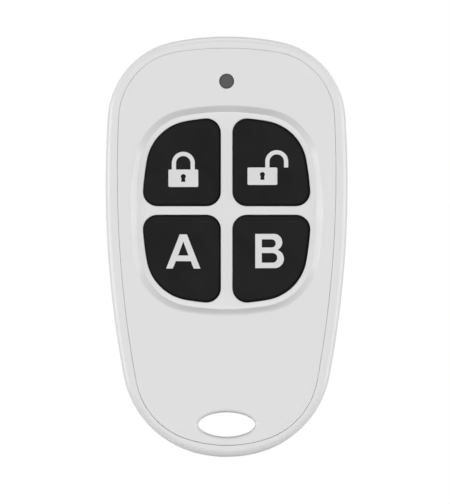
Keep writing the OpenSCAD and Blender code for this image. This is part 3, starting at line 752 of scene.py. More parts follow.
# %% Model one key and copy it
KEY_GAP = 0.15 * MM
KEY_FOOT_REACH = 0.35 * MM
KEY_FOOT_THICKNESS = 0.7 * MM
KEY_EDGE_RADIUS = 0.3 * MM
KEY_FOOT_EDGE = 0.1 * MM
KEY_STEM_RADIUS = 2.985 * MM
KEY_SHIFT = (-0.08 * MM, 0.03 * MM, 0)
INK_THICKNESS = 0.02 * MM
INK_ROOM = 1.5 * INK_THICKNESS
key_foot_z = cover_z - KEY_GAP - KEY_FOOT_THICKNESS
key_face_z = key_high.z - INK_ROOM
key_middle = Vector((
    (UPRIGHT_BAR / 2 + KEY_GROUP_HALF_WIDTH) / 2,
    (LEVEL_BAR / 2 + KEY_GROUP_HALF_HEIGHT) / 2 + KEYS_Y,
))
first_key = drawn_face("key", key_arcs, -KEY_FOOT_REACH, key_foot_z, KEYS_Y)
rise(KEY_FOOT_THICKNESS - KEY_FOOT_EDGE)
ease(KEY_FOOT_EDGE, 90, 0, steps=2)
step_in(KEY_FOOT_REACH + KEY_GAP - KEY_FOOT_EDGE)
rise(key_face_z - KEY_EDGE_RADIUS - key_foot_z - KEY_FOOT_THICKNESS)
ease(KEY_EDGE_RADIUS, 90, 0, steps=8)
stem = drawn_circle("stem", KEY_STEM_RADIUS, key_middle.x, key_middle.y, key_low.z)
rise(key_foot_z + OVERLAP - key_low.z)
join_on(first_key, stem)
keys = {}
for name, (side, end) in CORNERS.items():
    keys[name] = mirrored(first_key, "key_" + name + "_silicone", side, end)
    bpy.ops.transform.translate(value=KEY_SHIFT)
    bpy.ops.object.transform_apply()
    finish_mesh(keys[name])
bpy.data.objects.remove(first_key)

# %% [markdown]
# ## Webs
# A thin sloping wall of silicone carries each key over the board and folds when the key goes down. It
# starts as a sheet with two sides. The upper side is inset and lifted to the top of the wall, and the lower
# side follows it on the inside. Both middle faces are deleted and the rims that meet are merged.

# %% Model one web and copy it
WEB_THICKNESS = 0.4 * MM
WEB_FOOT_INSET = 0.35 * MM
WEB_TOP_INSET = 1.4 * MM
web_lean = WEB_TOP_INSET - WEB_FOOT_INSET
web_height = web_high.z - web_low.z
first_web = drawn_face("web", key_arcs, WEB_FOOT_INSET, web_low.z, KEYS_Y)
rise(0)
step_in(web_lean, web_height)
step_in(WEB_THICKNESS)
bpy.ops.mesh.delete(type="FACE")
pick_back(first_web, web_low.z)
step_in(WEB_THICKNESS)
step_in(web_lean, -web_height)
bpy.ops.mesh.delete(type="FACE")
bpy.ops.mesh.select_all(action="SELECT")
bpy.ops.mesh.remove_doubles(threshold=WELD)
bpy.ops.object.mode_set(mode="OBJECT")
webs = {}
for name, (side, end) in CORNERS.items():
    webs[name] = finish_mesh(mirrored(first_web, "web_" + name + "_silicone", side, end))
bpy.data.objects.remove(first_web)

# %% [markdown]
# ## Lamp window
# A short smoked light pipe carries the lamp's light to the front. Its flange holds it under the plate and
# its face lies a little below the plate's. The face is flat, and its round edge catches a ring of light.

# %% Light pipe
LAMP_FLANGE_REACH = 0.7 * MM
LAMP_FLANGE_THICKNESS = 0.6 * MM
LAMP_EDGE_RADIUS = 0.18 * MM
flange_z = cover_z - LAMP_FLANGE_THICKNESS
window = drawn_circle("lamp_window", LAMP_RADIUS + LAMP_FLANGE_REACH, 0, lamp_y, flange_z)
rise(LAMP_FLANGE_THICKNESS)
step_in(LAMP_FLANGE_REACH)
rise(window_high.z - cover_z - LAMP_EDGE_RADIUS)
ease(LAMP_EDGE_RADIUS, 90, 0, steps=8)
pick_back(window, flange_z)
step_in(LAMP_FLANGE_REACH)
rise(window_low.z - flange_z)
finish_mesh(window)

# %% [markdown]
# ## Battery door
# The coin cell sits behind a round door that turns with a coin. The door is a stack of circles: the flange,
# the collar that goes through the floor and the cup for the cell, all raised and stepped in from one face.
# Three lugs are joined on. A shallow groove near the edge breaks up the flat disc.

# %% Door disc, collar and cup
DOOR_EDGE_RADIUS = 0.25 * MM
FLANGE_THICKNESS = 0.8 * MM
COLLAR_WALL = PLUG_RADIUS - CUP_RADIUS
CUP_FLOOR_Z = 1.7 * MM
GROOVE_FROM_EDGE = 0.9 * MM
GROOVE_WIDTH = 0.45 * MM
GROOVE_DEPTH = 0.14 * MM
door = drawn_circle("battery_door_moulding", flange_radius, 0, DOOR_Y, door_low.z + DOOR_EDGE_RADIUS)
rise(FLANGE_THICKNESS - DOOR_EDGE_RADIUS)
step_in(flange_radius - PLUG_RADIUS)
rise(door_high.z - door_low.z - FLANGE_THICKNESS)
step_in(COLLAR_WALL)
rise(CUP_FLOOR_Z - door_high.z)
pick_back(door, door_low.z + DOOR_EDGE_RADIUS)
ease(DOOR_EDGE_RADIUS, 90, 0, steps=6)
step_in(GROOVE_FROM_EDGE)
step_in(GROOVE_DEPTH, -GROOVE_DEPTH)
step_in(GROOVE_WIDTH)
step_in(GROOVE_DEPTH, GROOVE_DEPTH)
for i in range(LUG_COUNT):
    lug = ring_sector(
        "lug", CUP_RADIUS + COLLAR_WALL / 2, LUG_RADIUS, CUP_FLOOR_Z, door_high.z,
        first_lug + 360 / LUG_COUNT * i, LUG_ANGLE
    )
    join_on(door, lug)
print("door faces with", LUG_COUNT, "lugs:", len(door.data.polygons))

# %% [markdown]
# ### Coin slot and pointer
# A coin turns the door, so its slot is long and round at both ends. The pointer is a small sunk triangle
# that shows whether the door is locked. Both are drawn with the pen and cut with the same lipped cutter as
# the openings, which keeps their edges soft.

# %% Coin slot and pointer
COIN_SLOT_LENGTH = 17 * MM
COIN_SLOT_WIDTH = 2.2 * MM
COIN_SLOT_DEPTH = 0.9 * MM
POINTER_FROM_MIDDLE = 9.9 * MM
POINTER_SIZE = 1.6 * MM


def coin_slot_outline(grow, z):
    """A long hole with round ends, grown all round."""
    half = (COIN_SLOT_LENGTH - COIN_SLOT_WIDTH) / 2
    radius = COIN_SLOT_WIDTH / 2 + grow
    piece = pen_start("coin_slot", half, DOOR_Y - radius, z)
    pen_arc(half, DOOR_Y, radius, HALF_TURN)
    pen_line(-2 * half, 0)
    pen_arc(-half, DOOR_Y, radius, HALF_TURN)
    pen_line(2 * half, 0)
    return pen_fill(piece)


def pointer_outline(grow, z):
    """A triangle that points to the edge of the door, grown all round."""
    half = POINTER_SIZE / 2 + math.sqrt(3) * grow
    base_y = DOOR_Y + POINTER_FROM_MIDDLE - POINTER_SIZE / 2 - grow
    piece = pen_start("pointer", -half, base_y, z)
    pen_line(2 * half, 0)
    pen_line(-half, math.sqrt(3) * half)
    pen_line(-half, -math.sqrt(3) * half)
    return pen_fill(piece)


carve(door, lipped_cutter(coin_slot_outline, door_low.z, -1, SOFT_LIP, COIN_SLOT_DEPTH))
carve(door, lipped_cutter(pointer_outline, door_low.z, -1, MARK_DEPTH / 2, MARK_DEPTH))
finish_mesh(door)

# %% [markdown]
# ## Screws
# Three self-tapping screws hold the case together from the back. One screw is modelled with a rounded head
# and a tapered cross recess, copied to the three places and joined to one piece, as the CAD node is.

# %% Model one screw and copy it
SCREW_HEAD_HEIGHT = 1.1 * MM
SCREW_HEAD_ROUND = 0.5 * MM
SCREW_POINT = 0.5 * MM
CROSS_ARM = 1.05 * MM
CROSS_HALF_WIDTH = 0.26 * MM
CROSS_DEPTH = 0.62 * MM
CROSS_TAPER = CROSS_HALF_WIDTH / 3
head_z = SCREW_SEAT_Z - SCREW_HEAD_HEIGHT
first_screw = drawn_circle("screw", SCREW_HEAD_RADIUS, 0, 0, head_z + SCREW_HEAD_ROUND)
rise(SCREW_HEAD_HEIGHT - SCREW_HEAD_ROUND)
step_in(SCREW_HEAD_RADIUS - SCREW_RADIUS)
rise(screw_high.z - SCREW_SEAT_Z - SCREW_POINT)
step_in(SCREW_RADIUS / 2, SCREW_POINT)
pick_back(first_screw, head_z + SCREW_HEAD_ROUND)
ease(SCREW_HEAD_ROUND, 90, 0, steps=8)
cross = pen_start("cross", CROSS_HALF_WIDTH, -CROSS_ARM, head_z - CUT)
arm = CROSS_ARM - CROSS_HALF_WIDTH
for dx, dy in ((1, 0), (0, 1), (-1, 0), (0, -1)):
    pen_line(-dy * arm, dx * arm)
    pen_line(dx * arm, dy * arm)
    pen_line(-dy * 2 * CROSS_HALF_WIDTH, dx * 2 * CROSS_HALF_WIDTH)
pen_fill(cross)
rise(CUT)
step_in(CROSS_TAPER, CROSS_DEPTH)
carve(first_screw, cross)
screws = [copied(first_screw, f"screw_{i}") for i in range(len(screw_places))]
put_down()
for screw, place in zip(screws, screw_places):
    screw.location = (place.x, place.y, 0)
    screw.select_set(True)
bpy.context.view_layer.objects.active = screws[0]
bpy.ops.object.transform_apply(location=True)
bpy.ops.object.join()
screws = bpy.context.object
screws.name = "case_screws_steel"
bpy.data.objects.remove(first_screw)
finish_mesh(screws)

# %% [markdown]
# ## Legends on the keys
# The keys carry plain printed signs: a closed padlock, an open padlock and the letters A and B. Each is a
# thin sheet of ink drawn with the pen on the key's face, with real holes for the keyholes and the counters
# of the letters. A text object would bring its own letter forms, so the strokes are drawn here instead.

# %% Ink sheets
INK_SINK = 0.005 * MM


def ink(piece):
    """Give a filled drawing the thickness of a print."""
    pen_fill(piece)
    rise(INK_THICKNESS + INK_SINK)
    put_down()
    return piece


def hole(piece):
    """Give a filled drawing enough height to cut through the ink."""
    pen_fill(piece)
    bpy.ops.transform.translate(value=(0, 0, -CUT))
    rise(2 * CUT)
    return piece


ink_z = key_face_z - INK_SINK
print(f"ink from {ink_z / MM:.3f} to {(ink_z + INK_THICKNESS + INK_SINK) / MM:.3f} mm")

# %% [markdown]
# ### Padlocks
# A padlock is a box with round corners, an arch for the shackle and a keyhole. One function draws both
# signs: on the open one the arch only moves aside, and its free leg ends in the air.

# %% Padlocks
LOCK_WIDTH = 4.39 * MM
LOCK_HEIGHT = 2.57 * MM
LOCK_CORNER = 0.2 * MM
SHACKLE_RADIUS = 1.69 * MM
SHACKLE_STROKE = 0.62 * MM
KEYHOLE_HEIGHT = 1.53 * MM
KEYHOLE_RADIUS = 0.37 * MM
KEYHOLE_HALF_WIDTH = 0.3 * MM
KEYHOLE_HALF_NECK = 0.26 * MM
KEYHOLE_DROP = 0.78 * MM


def rounded_box(name, x, y, width, height, corner):
    """Outline of a box with round corners, from its lower left place."""
    piece = pen_start(name, x + corner, y, ink_z)
    pen_line(width - 2 * corner, 0)
    pen_arc(x + width - corner, y + corner, corner, HALF_TURN / 2)
    pen_line(0, height - 2 * corner)
    pen_arc(x + width - corner, y + height - corner, corner, HALF_TURN / 2)
    pen_line(2 * corner - width, 0)
    pen_arc(x + corner, y + height - corner, corner, HALF_TURN / 2)
    pen_line(0, 2 * corner - height)
    pen_arc(x + corner, y + corner, corner, HALF_TURN / 2)
    return piece


def padlock(name, x, y, shackle_x, shackle_y, free_leg):
    """A padlock whose body has its lower middle at (x, y). The right leg ends free_leg under the arch."""
    body = ink(rounded_box(name, x - LOCK_WIDTH / 2, y, LOCK_WIDTH, LOCK_HEIGHT, LOCK_CORNER))
    body_top = y + LOCK_HEIGHT
    left_leg = shackle_y - body_top + LOCK_CORNER
    inner = SHACKLE_RADIUS - SHACKLE_STROKE
    shackle = pen_start("shackle", shackle_x + SHACKLE_RADIUS, shackle_y - free_leg, ink_z)
    pen_line(0, free_leg)
    pen_arc(shackle_x, shackle_y, SHACKLE_RADIUS, HALF_TURN)
    pen_line(0, -left_leg)
    pen_line(SHACKLE_STROKE, 0)
    pen_line(0, left_leg)
    pen_arc(shackle_x, shackle_y, inner, -HALF_TURN)
    pen_line(0, -free_leg)
    pen_line(SHACKLE_STROKE, 0)
    join_on(body, ink(shackle))
    keyhole_y = y + KEYHOLE_HEIGHT
    round_hole = hole(drawn_circle("keyhole", KEYHOLE_RADIUS, x, keyhole_y, ink_z))
    carve(body, round_hole)
    slot = pen_start("keyhole_slot", x - KEYHOLE_HALF_WIDTH, keyhole_y - KEYHOLE_DROP, ink_z)
    pen_line(2 * KEYHOLE_HALF_WIDTH, 0)
    pen_line(KEYHOLE_HALF_NECK - KEYHOLE_HALF_WIDTH, KEYHOLE_DROP)
    pen_line(-2 * KEYHOLE_HALF_NECK, 0)
    pen_line(KEYHOLE_HALF_NECK - KEYHOLE_HALF_WIDTH, -KEYHOLE_DROP)
    carve(body, hole(slot))
    return finish_mesh(body)


LOCK_X = -6.39 * MM
LOCK_Y = 8.82 * MM
SHACKLE_ABOVE_BODY = 0.93 * MM
OPEN_LOCK_X = 5.27 * MM
OPEN_LOCK_Y = 9.12 * MM
OPEN_SHACKLE_X = 7.385 * MM
OPEN_LEG = 0.87 * MM
legends = {}
lock_top = LOCK_Y + LOCK_HEIGHT
legends["lock"] = padlock(
    "legend_lock_ink", LOCK_X, LOCK_Y,
    LOCK_X, lock_top + SHACKLE_ABOVE_BODY, SHACKLE_ABOVE_BODY + LOCK_CORNER
)
open_top = OPEN_LOCK_Y + LOCK_HEIGHT
legends["unlock"] = padlock(
    "legend_unlock_ink", OPEN_LOCK_X, OPEN_LOCK_Y, OPEN_SHACKLE_X, open_top + OPEN_LEG, OPEN_LEG
)

# %% [markdown]
# ### Letters
# The A is one closed line of straight strokes, with a triangle cut out over its bar. The B is two boxes with
# half-round ends, joined one over the other, with a smaller one cut out of each.

# %% Letter A
LETTER_HEIGHT = 5.04 * MM
A_X = -6.393 * MM
A_Y = -3.21 * MM
A_HALF_BASE = 2.52 * MM
A_HALF_TOP = 0.53 * MM
A_FOOT = 0.98 * MM
A_BAR_LOW = 1.1 * MM
A_BAR_HIGH = 1.93 * MM
A_COUNTER_HALF = 0.76 * MM
A_COUNTER_TOP = 4.0 * MM
a_lean = (A_HALF_BASE - A_HALF_TOP) / LETTER_HEIGHT
a_foot_inner = A_HALF_BASE - A_FOOT
a_bar_half = a_foot_inner - a_lean * A_BAR_LOW
letter_a = pen_start("legend_a_ink", A_X - A_HALF_BASE, A_Y, ink_z)
pen_line(A_FOOT, 0)
pen_line(a_foot_inner - a_bar_half, A_BAR_LOW)
pen_line(2 * a_bar_half, 0)
pen_line(a_foot_inner - a_bar_half, -A_BAR_LOW)
pen_line(A_FOOT, 0)
pen_line(A_HALF_TOP - A_HALF_BASE, LETTER_HEIGHT)
pen_line(-2 * A_HALF_TOP, 0)
pen_line(A_HALF_TOP - A_HALF_BASE, -LETTER_HEIGHT)
ink(letter_a)
counter = pen_start("counter", A_X - A_COUNTER_HALF, A_Y + A_BAR_HIGH, ink_z)
pen_line(2 * A_COUNTER_HALF, 0)
pen_line(-A_COUNTER_HALF, A_COUNTER_TOP - A_BAR_HIGH)
pen_line(-A_COUNTER_HALF, A_BAR_HIGH - A_COUNTER_TOP)
carve(letter_a, hole(counter))
legends["a"] = finish_mesh(letter_a)

# %% Letter B
B_X = 4.22 * MM
B_Y = -3.14 * MM
B_STEM = 0.96 * MM
B_LOWER_LENGTH = 4.22 * MM
B_UPPER_LENGTH = 3.98 * MM
B_LOWER_RADIUS = 1.37 * MM
B_UPPER_RADIUS = 1.23 * MM
B_LOWER_COUNTER = 0.715 * MM
B_UPPER_COUNTER = 0.6 * MM
B_BOWL_STROKE = 0.97 * MM
B_BAR = 0.8 * MM


def half_round_box(name, x, y, length, radius):
    """Outline of a box with a half-round right end, from its lower left place."""
    piece = pen_start(name, x, y, ink_z)
    pen_line(length - radius, 0)
    pen_arc(x + length - radius, y + radius, radius, HALF_TURN)
    pen_line(radius - length, 0)
    pen_line(0, -2 * radius)
    return piece


upper_y = B_Y + LETTER_HEIGHT - 2 * B_UPPER_RADIUS
letter_b = ink(half_round_box("legend_b_ink", B_X, B_Y, B_LOWER_LENGTH, B_LOWER_RADIUS))
join_on(letter_b, ink(half_round_box("bowl", B_X, upper_y, B_UPPER_LENGTH, B_UPPER_RADIUS)))
counters = [
    (B_Y + B_BAR, B_LOWER_LENGTH, B_LOWER_COUNTER),
    (B_Y + LETTER_HEIGHT - B_BAR - 2 * B_UPPER_COUNTER, B_UPPER_LENGTH, B_UPPER_COUNTER),
]
for counter_y, bowl_length, radius in counters:
    length = bowl_length - B_STEM - B_BOWL_STROKE
    carve(letter_b, hole(half_round_box("counter", B_X + B_STEM, counter_y, length, radius)))
legends["b"] = finish_mesh(letter_b)

# %% [markdown]
# ## What rides on what
# Every new piece moves with one body of the frame and stands for the CAD nodes that it hides. The webs stay
# on the case.

# %% Rides, stand-ins and slots
for piece, node, slot in (
    (shell, "rear_shell", "case_plastic"),
    (plate, "front_cover", "case_plastic"),
    (window, "led_window", "smoked_lens"),
    (screws, "case_screws", "steel"),
):
    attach(piece, "housing")
    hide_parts(node)
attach(door, "door")
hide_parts("battery_door")
for name in CORNERS:
    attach(keys[name], "key_" + name)
    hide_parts("button_" + name)
    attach(legends[name], "key_" + name)
    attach(webs[name], "housing")
    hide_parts("web_" + name)
    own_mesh(webs[name])

# %% [markdown]
# ## Surface effects that finishes share
# Moulded plastic and rubber carry the fine grain of the mould, metal is drawn or rolled in one direction,
# and everything that is handled has faint smudges and a little dust. Each effect is a node group with
# named inputs, built once. They read Object coordinates in metres, so a scale is a count per metre.

# %% Helpers for node trees
def add_node(tree, kind, inputs=None, **settings):
    """A new node with plain input values and settings."""
    node = tree.nodes.new(kind)
    for name, value in settings.items():
        setattr(node, name, value)
    for name, value in (inputs or {}).items():
        node.inputs[name].default_value = value
    return node


def new_group(name, inputs, outputs):
    """A shader node group with float sockets and a vector input."""
    group = bpy.data.node_groups.new(name, "ShaderNodeTree")
    group.interface.new_socket(name="Vector", in_out="INPUT", socket_type="NodeSocketVector")
    for socket in inputs:
        group.interface.new_socket(name=socket, in_out="INPUT", socket_type="NodeSocketFloat")
    for socket in outputs:
        group.interface.new_socket(name=socket, in_out="OUTPUT", socket_type="NodeSocketFloat")
    return group, group.nodes.new("NodeGroupInput"), group.nodes.new("NodeGroupOutput")


def spread(tree, value, low, high, out_low=0.0, out_high=1.0):
    """Map a value's range to another range and return the output."""
    node = add_node(tree, "ShaderNodeMapRange", {
        "From Min": low, "From Max": high, "To Min": out_low, "To Max": out_high,
    })
    tree.links.new(value, node.inputs["Value"])
    return node.outputs["Result"]


def sum_up(tree, operation, first, second):
    """A Math node on two outputs, or on an output and a number."""
    node = add_node(tree, "ShaderNodeMath", operation=operation)
    tree.links.new(first, node.inputs[0])
    if isinstance(second, float):
        node.inputs[1].default_value = second
    else:
        tree.links.new(second, node.inputs[1])
    return node.outputs[0]


# %% [markdown]
# ### Mould grain
# A mould is etched, so plastic and rubber come out of it with a fine, even grain. Fine noise and soft
# Voronoi cells make its height, and a much coarser noise gives faint clouds of tone. One scale drives all
# three, so that a finer grain stays in proportion.

# %% Mould grain
PIT_SCALE_SHARE = 0.6
CLOUD_SCALE_SHARE = 0.04
CLOUD_LEVELS = (0.3, 0.7)
grain_group, grain_in, grain_out = new_group("mould_grain", ["Scale"], ["Height", "Tone"])
fine = add_node(grain_group, "ShaderNodeTexNoise", {"Detail": 3.0, "Roughness": 0.6})
pits = add_node(grain_group, "ShaderNodeTexVoronoi", feature="SMOOTH_F1")
cloud = add_node(grain_group, "ShaderNodeTexNoise", {"Detail": 2.0})
pit_scale = sum_up(grain_group, "MULTIPLY", grain_in.outputs["Scale"], PIT_SCALE_SHARE)
cloud_scale = sum_up(grain_group, "MULTIPLY", grain_in.outputs["Scale"], CLOUD_SCALE_SHARE)
for texture, scale in ((fine, grain_in.outputs["Scale"]), (pits, pit_scale), (cloud, cloud_scale)):
    grain_group.links.new(grain_in.outputs["Vector"], texture.inputs["Vector"])
    grain_group.links.new(scale, texture.inputs["Scale"])
height = sum_up(grain_group, "ADD", fine.outputs["Fac"], pits.outputs["Distance"])
grain_group.links.new(sum_up(grain_group, "MULTIPLY", height, 0.5), grain_out.inputs["Height"])
clouds = spread(grain_group, cloud.outputs["Fac"], *CLOUD_LEVELS)
grain_group.links.new(clouds, grain_out.inputs["Tone"])
print(grain_group.name, "has", len(grain_group.nodes), "nodes")

# %% [markdown]
# ### Smudges and dust
# Fingers leave soft smears that change the shine, and dust lies about in single specks. A distorted noise
# gives the smears. The specks are the middles of Voronoi cells, and each cell's random colour decides
# whether it has one, so that they stay rare.

# %% Smudges and dust
SMUDGE_SCALE = 140.0
SMUDGE_LEVELS = (0.35, 0.7)
DUST_SCALE = 700.0
DUST_CHANCE_LEVELS = (0.86, 0.9)
DUST_SIZE_LEVELS = (0.03, 0.07)
handling_group, handling_in, handling_out = new_group("handling", [], ["Smudge", "Dust"])
smudge = add_node(handling_group, "ShaderNodeTexNoise", {
    "Scale": SMUDGE_SCALE, "Detail": 5.0, "Roughness": 0.55, "Distortion": 0.8,
})
specks = add_node(handling_group, "ShaderNodeTexVoronoi", {"Scale": DUST_SCALE})
for texture in (smudge, specks):
    handling_group.links.new(handling_in.outputs["Vector"], texture.inputs["Vector"])
chance = add_node(handling_group, "ShaderNodeSeparateColor")
handling_group.links.new(specks.outputs["Color"], chance.inputs["Color"])
rare = spread(handling_group, chance.outputs["Red"], *DUST_CHANCE_LEVELS)
small = spread(handling_group, specks.outputs["Distance"], *DUST_SIZE_LEVELS, 1.0, 0.0)
smears = spread(handling_group, smudge.outputs["Fac"], *SMUDGE_LEVELS)
handling_group.links.new(smears, handling_out.inputs["Smudge"])
handling_group.links.new(sum_up(handling_group, "MULTIPLY", rare, small), handling_out.inputs["Dust"])
print(handling_group.name, "has", len(handling_group.nodes), "nodes")

# %% [markdown]
# ### Drawn metal
# Metal that is drawn or rolled has fine lines in one direction. A noise that is stretched along X gives
# them, which is lighter than modelling scratches. A coarse noise gives patches of tarnish.

# %% Drawn metal
STREAK_STRETCH = 0.02
TARNISH_SCALE_SHARE = 0.05
TARNISH_LEVELS = (0.35, 0.7)
drawn_group, drawn_in, drawn_out = new_group("drawn_metal", ["Scale"], ["Streak", "Tarnish"])
along = add_node(drawn_group, "ShaderNodeMapping", {"Scale": (STREAK_STRETCH, 1.0, 1.0)})
streak = add_node(drawn_group, "ShaderNodeTexNoise", {"Detail": 3.0, "Roughness": 0.7})
tarnish = add_node(drawn_group, "ShaderNodeTexNoise", {"Detail": 4.0, "Distortion": 0.5})
drawn_group.links.new(drawn_in.outputs["Vector"], along.inputs["Vector"])
drawn_group.links.new(along.outputs["Vector"], streak.inputs["Vector"])
drawn_group.links.new(drawn_in.outputs["Vector"], tarnish.inputs["Vector"])
drawn_group.links.new(drawn_in.outputs["Scale"], streak.inputs["Scale"])
tarnish_scale = sum_up(drawn_group, "MULTIPLY", drawn_in.outputs["Scale"], TARNISH_SCALE_SHARE)
drawn_group.links.new(tarnish_scale, tarnish.inputs["Scale"])
drawn_group.links.new(streak.outputs["Fac"], drawn_out.inputs["Streak"])
patches = spread(drawn_group, tarnish.outputs["Fac"], *TARNISH_LEVELS)
drawn_group.links.new(patches, drawn_out.inputs["Tarnish"])
print("node groups:", [group.name for group in bpy.data.node_groups])

# %% [markdown]
# ## Finishes
# A finish starts from one Principled BSDF. Colours, roughness and bump come from the shared groups. What is
# the same all over the surface is set on the shader's own sockets, where an export can read it.

# %% Helpers for finishes
BUMP_HEIGHT = 0.01 * MM


def new_finish(name, **plain):
    """A material with its shader's plain values, and the coordinate that its effects read."""
    material = bpy.data.materials.new(name)
    material.use_nodes = True
    tree = material.node_tree
    shader = tree.nodes["Principled BSDF"]
    for socket, value in plain.items():
        shader.inputs[socket.replace("_", " ")].default_value = value
    place = add_node(tree, "ShaderNodeTexCoord").outputs["Object"]
    return material, tree, shader, place


def effect(tree, group, place, **values):
    """A shared effect in a material, with its own values."""
    node = add_node(tree, "ShaderNodeGroup", node_tree=group)
    tree.links.new(place, node.inputs["Vector"])
    for socket, value in values.items():
        node.inputs[socket].default_value = value
    return node.outputs


def blend_colours(tree, mask, first, second):
    """Colour that goes from the first to the second, each a colour or an output, by a mask."""
    node = add_node(tree, "ShaderNodeMix", data_type="RGBA")
    tree.links.new(mask, node.inputs["Factor"])
    for socket, colour in (("A", first), ("B", second)):
        pin = next(pin for pin in node.inputs if pin.name == socket and pin.type == "RGBA")
        if isinstance(colour, tuple):
            pin.default_value = (*colour, 1.0)
        else:
            tree.links.new(colour, pin)
    return next(pin for pin in node.outputs if pin.type == "RGBA")


def emboss(tree, shader, height, strength):
    """Feed a height to the shader as a bump."""
    bump = add_node(tree, "ShaderNodeBump", {"Strength": strength, "Distance": BUMP_HEIGHT})
    tree.links.new(height, bump.inputs["Height"])
    tree.links.new(bump.outputs["Normal"], shader.inputs["Normal"])


# %% [markdown]
# ### Moulded plastic and rubber
# The case is satin white plastic and the keys are matt black silicone. The mat, the pills, the chips and the
# cell's ring are moulded too, and the legends' ink takes the same marks. They differ only in colour, shine
# and grain, so one function makes them all.

# %% Moulded plastic and rubber
GREY_DUST = (0.35, 0.34, 0.32)


def moulded(name, light, dark, rough, grain_scale, grain_strength, dust_share, **plain):
    """Plastic or rubber with mould grain, faint clouds of tone, smudges and some dust."""
    material, tree, shader, place = new_finish(name, **plain)
    grain = effect(tree, grain_group, place, Scale=grain_scale)
    marks = effect(tree, handling_group, place)
    clouds = blend_colours(tree, grain["Tone"], light, dark)
    dusty = sum_up(tree, "MULTIPLY", marks["Dust"], dust_share)
    tree.links.new(blend_colours(tree, dusty, clouds, GREY_DUST), shader.inputs["Base Color"])
    tree.links.new(spread(tree, marks["Smudge"], 0.0, 1.0, *rough), shader.inputs["Roughness"])
    emboss(tree, shader, grain["Height"], grain_strength)
    return material


finishes = {
    "case_plastic": moulded(
        "case_white", light=(0.774, 0.773, 0.774), dark=(0.761, 0.76, 0.761), rough=(0.3, 0.33),
        grain_scale=5500.0, grain_strength=0.1, dust_share=0.06
    ),
    "key_rubber": moulded(
        "key_silicone", light=(0.0055, 0.0055, 0.0057), dark=(0.0045, 0.0045, 0.0047), rough=(0.55, 0.68),
        grain_scale=6500.0, grain_strength=0.3, dust_share=0.08, Specular_IOR_Level=0.1
    ),
    "silicone": moulded(
        "mat_silicone", light=(0.03, 0.03, 0.032), dark=(0.024, 0.024, 0.026), rough=(0.6, 0.75),
        grain_scale=4500.0, grain_strength=0.3, dust_share=0.05
    ),
    "carbon_pill": moulded(
        "carbon_pill", light=(0.014, 0.014, 0.015), dark=(0.009, 0.009, 0.0095), rough=(0.7, 0.85),
        grain_scale=9000.0, grain_strength=0.6, dust_share=0.02
    ),
    "chip_resin": moulded(
        "chip_resin", light=(0.018, 0.018, 0.019), dark=(0.012, 0.012, 0.0125), rough=(0.5, 0.65),
        grain_scale=14000.0, grain_strength=0.5, dust_share=0.02
    ),
    "chip_ceramic": moulded(
        "chip_ceramic", light=(0.34, 0.23, 0.14), dark=(0.26, 0.17, 0.1), rough=(0.35, 0.5),
        grain_scale=12000.0, grain_strength=0.3, dust_share=0.02
    ),
    "holder_plastic": moulded(
        "holder_plastic", light=(0.032, 0.032, 0.036), dark=(0.024, 0.024, 0.028), rough=(0.4, 0.55),
        grain_scale=5000.0, grain_strength=0.4, dust_share=0.04
    ),
}
ink_finish = moulded(
    "legend_ink", light=(0.775, 0.775, 0.775), dark=(0.745, 0.745, 0.745), rough=(0.5, 0.62),
    grain_scale=9000.0, grain_strength=0.35, dust_share=0.1
)
print("moulded finishes:", *finishes)

# %% [markdown]
# ### Metals
# The screws, the cell and the crystal's can are plated steel. The contacts on the board are gold on copper,
# and the cell's springs are brass. All of them show the lines of drawing or rolling in their shine more than
# in their colour, so the lines drive the roughness and a faint bump.

# %% Metals
STREAK_LEVELS = (0.3, 0.7)


def metal(name, bright, dull, rough, streak_scale, streak_strength):
    """Drawn or plated metal with streaks along X and patches of tarnish."""
    material, tree, shader, place = new_finish(name, Metallic=1.0)
    lines = effect(tree, drawn_group, place, Scale=streak_scale)
    tree.links.new(blend_colours(tree, lines["Tarnish"], bright, dull), shader.inputs["Base Color"])
    tree.links.new(spread(tree, lines["Streak"], *STREAK_LEVELS, *rough), shader.inputs["Roughness"])
    emboss(tree, shader, lines["Streak"], streak_strength)
    return material


finishes["steel"] = metal(
    "plated_steel", bright=(0.66, 0.66, 0.65), dull=(0.54, 0.54, 0.54), rough=(0.22, 0.38),
    streak_scale=9000.0, streak_strength=0.2
)
finishes["gold_copper"] = metal(
    "gold_copper", bright=(0.86, 0.63, 0.27), dull=(0.74, 0.5, 0.2), rough=(0.2, 0.34),
    streak_scale=8000.0, streak_strength=0.15
)
finishes["spring_brass"] = metal(
    "spring_brass", bright=(0.8, 0.63, 0.34), dull=(0.6, 0.45, 0.22), rough=(0.24, 0.4),
    streak_scale=8000.0, streak_strength=0.2
)
print(len(finishes), "finishes with the metals")

# %% [markdown]
# ### Circuit board, lamp window and lamp resin
# Under its green mask a board is woven glass, and two crossed Wave textures show the threads. The lamp
# window is smoked and looks grey from outside, so it gets a plain grey, and only the lamp's own resin lets
# light through.

# %% Circuit board, lamp window and lamp resin
WEAVE_SCALE = 420.0
WEAVE_WOBBLE = 0.6
WEAVE_RELIEF = 0.2
MASK_GREEN = (0.006, 0.075, 0.03)
THREAD_GREEN = (0.012, 0.12, 0.05)
MASK_ROUGH = (0.28, 0.42)
RESIN_IOR = 1.49
RESIN_GRAIN_SCALE = 9000.0
RESIN_RELIEF = 0.05


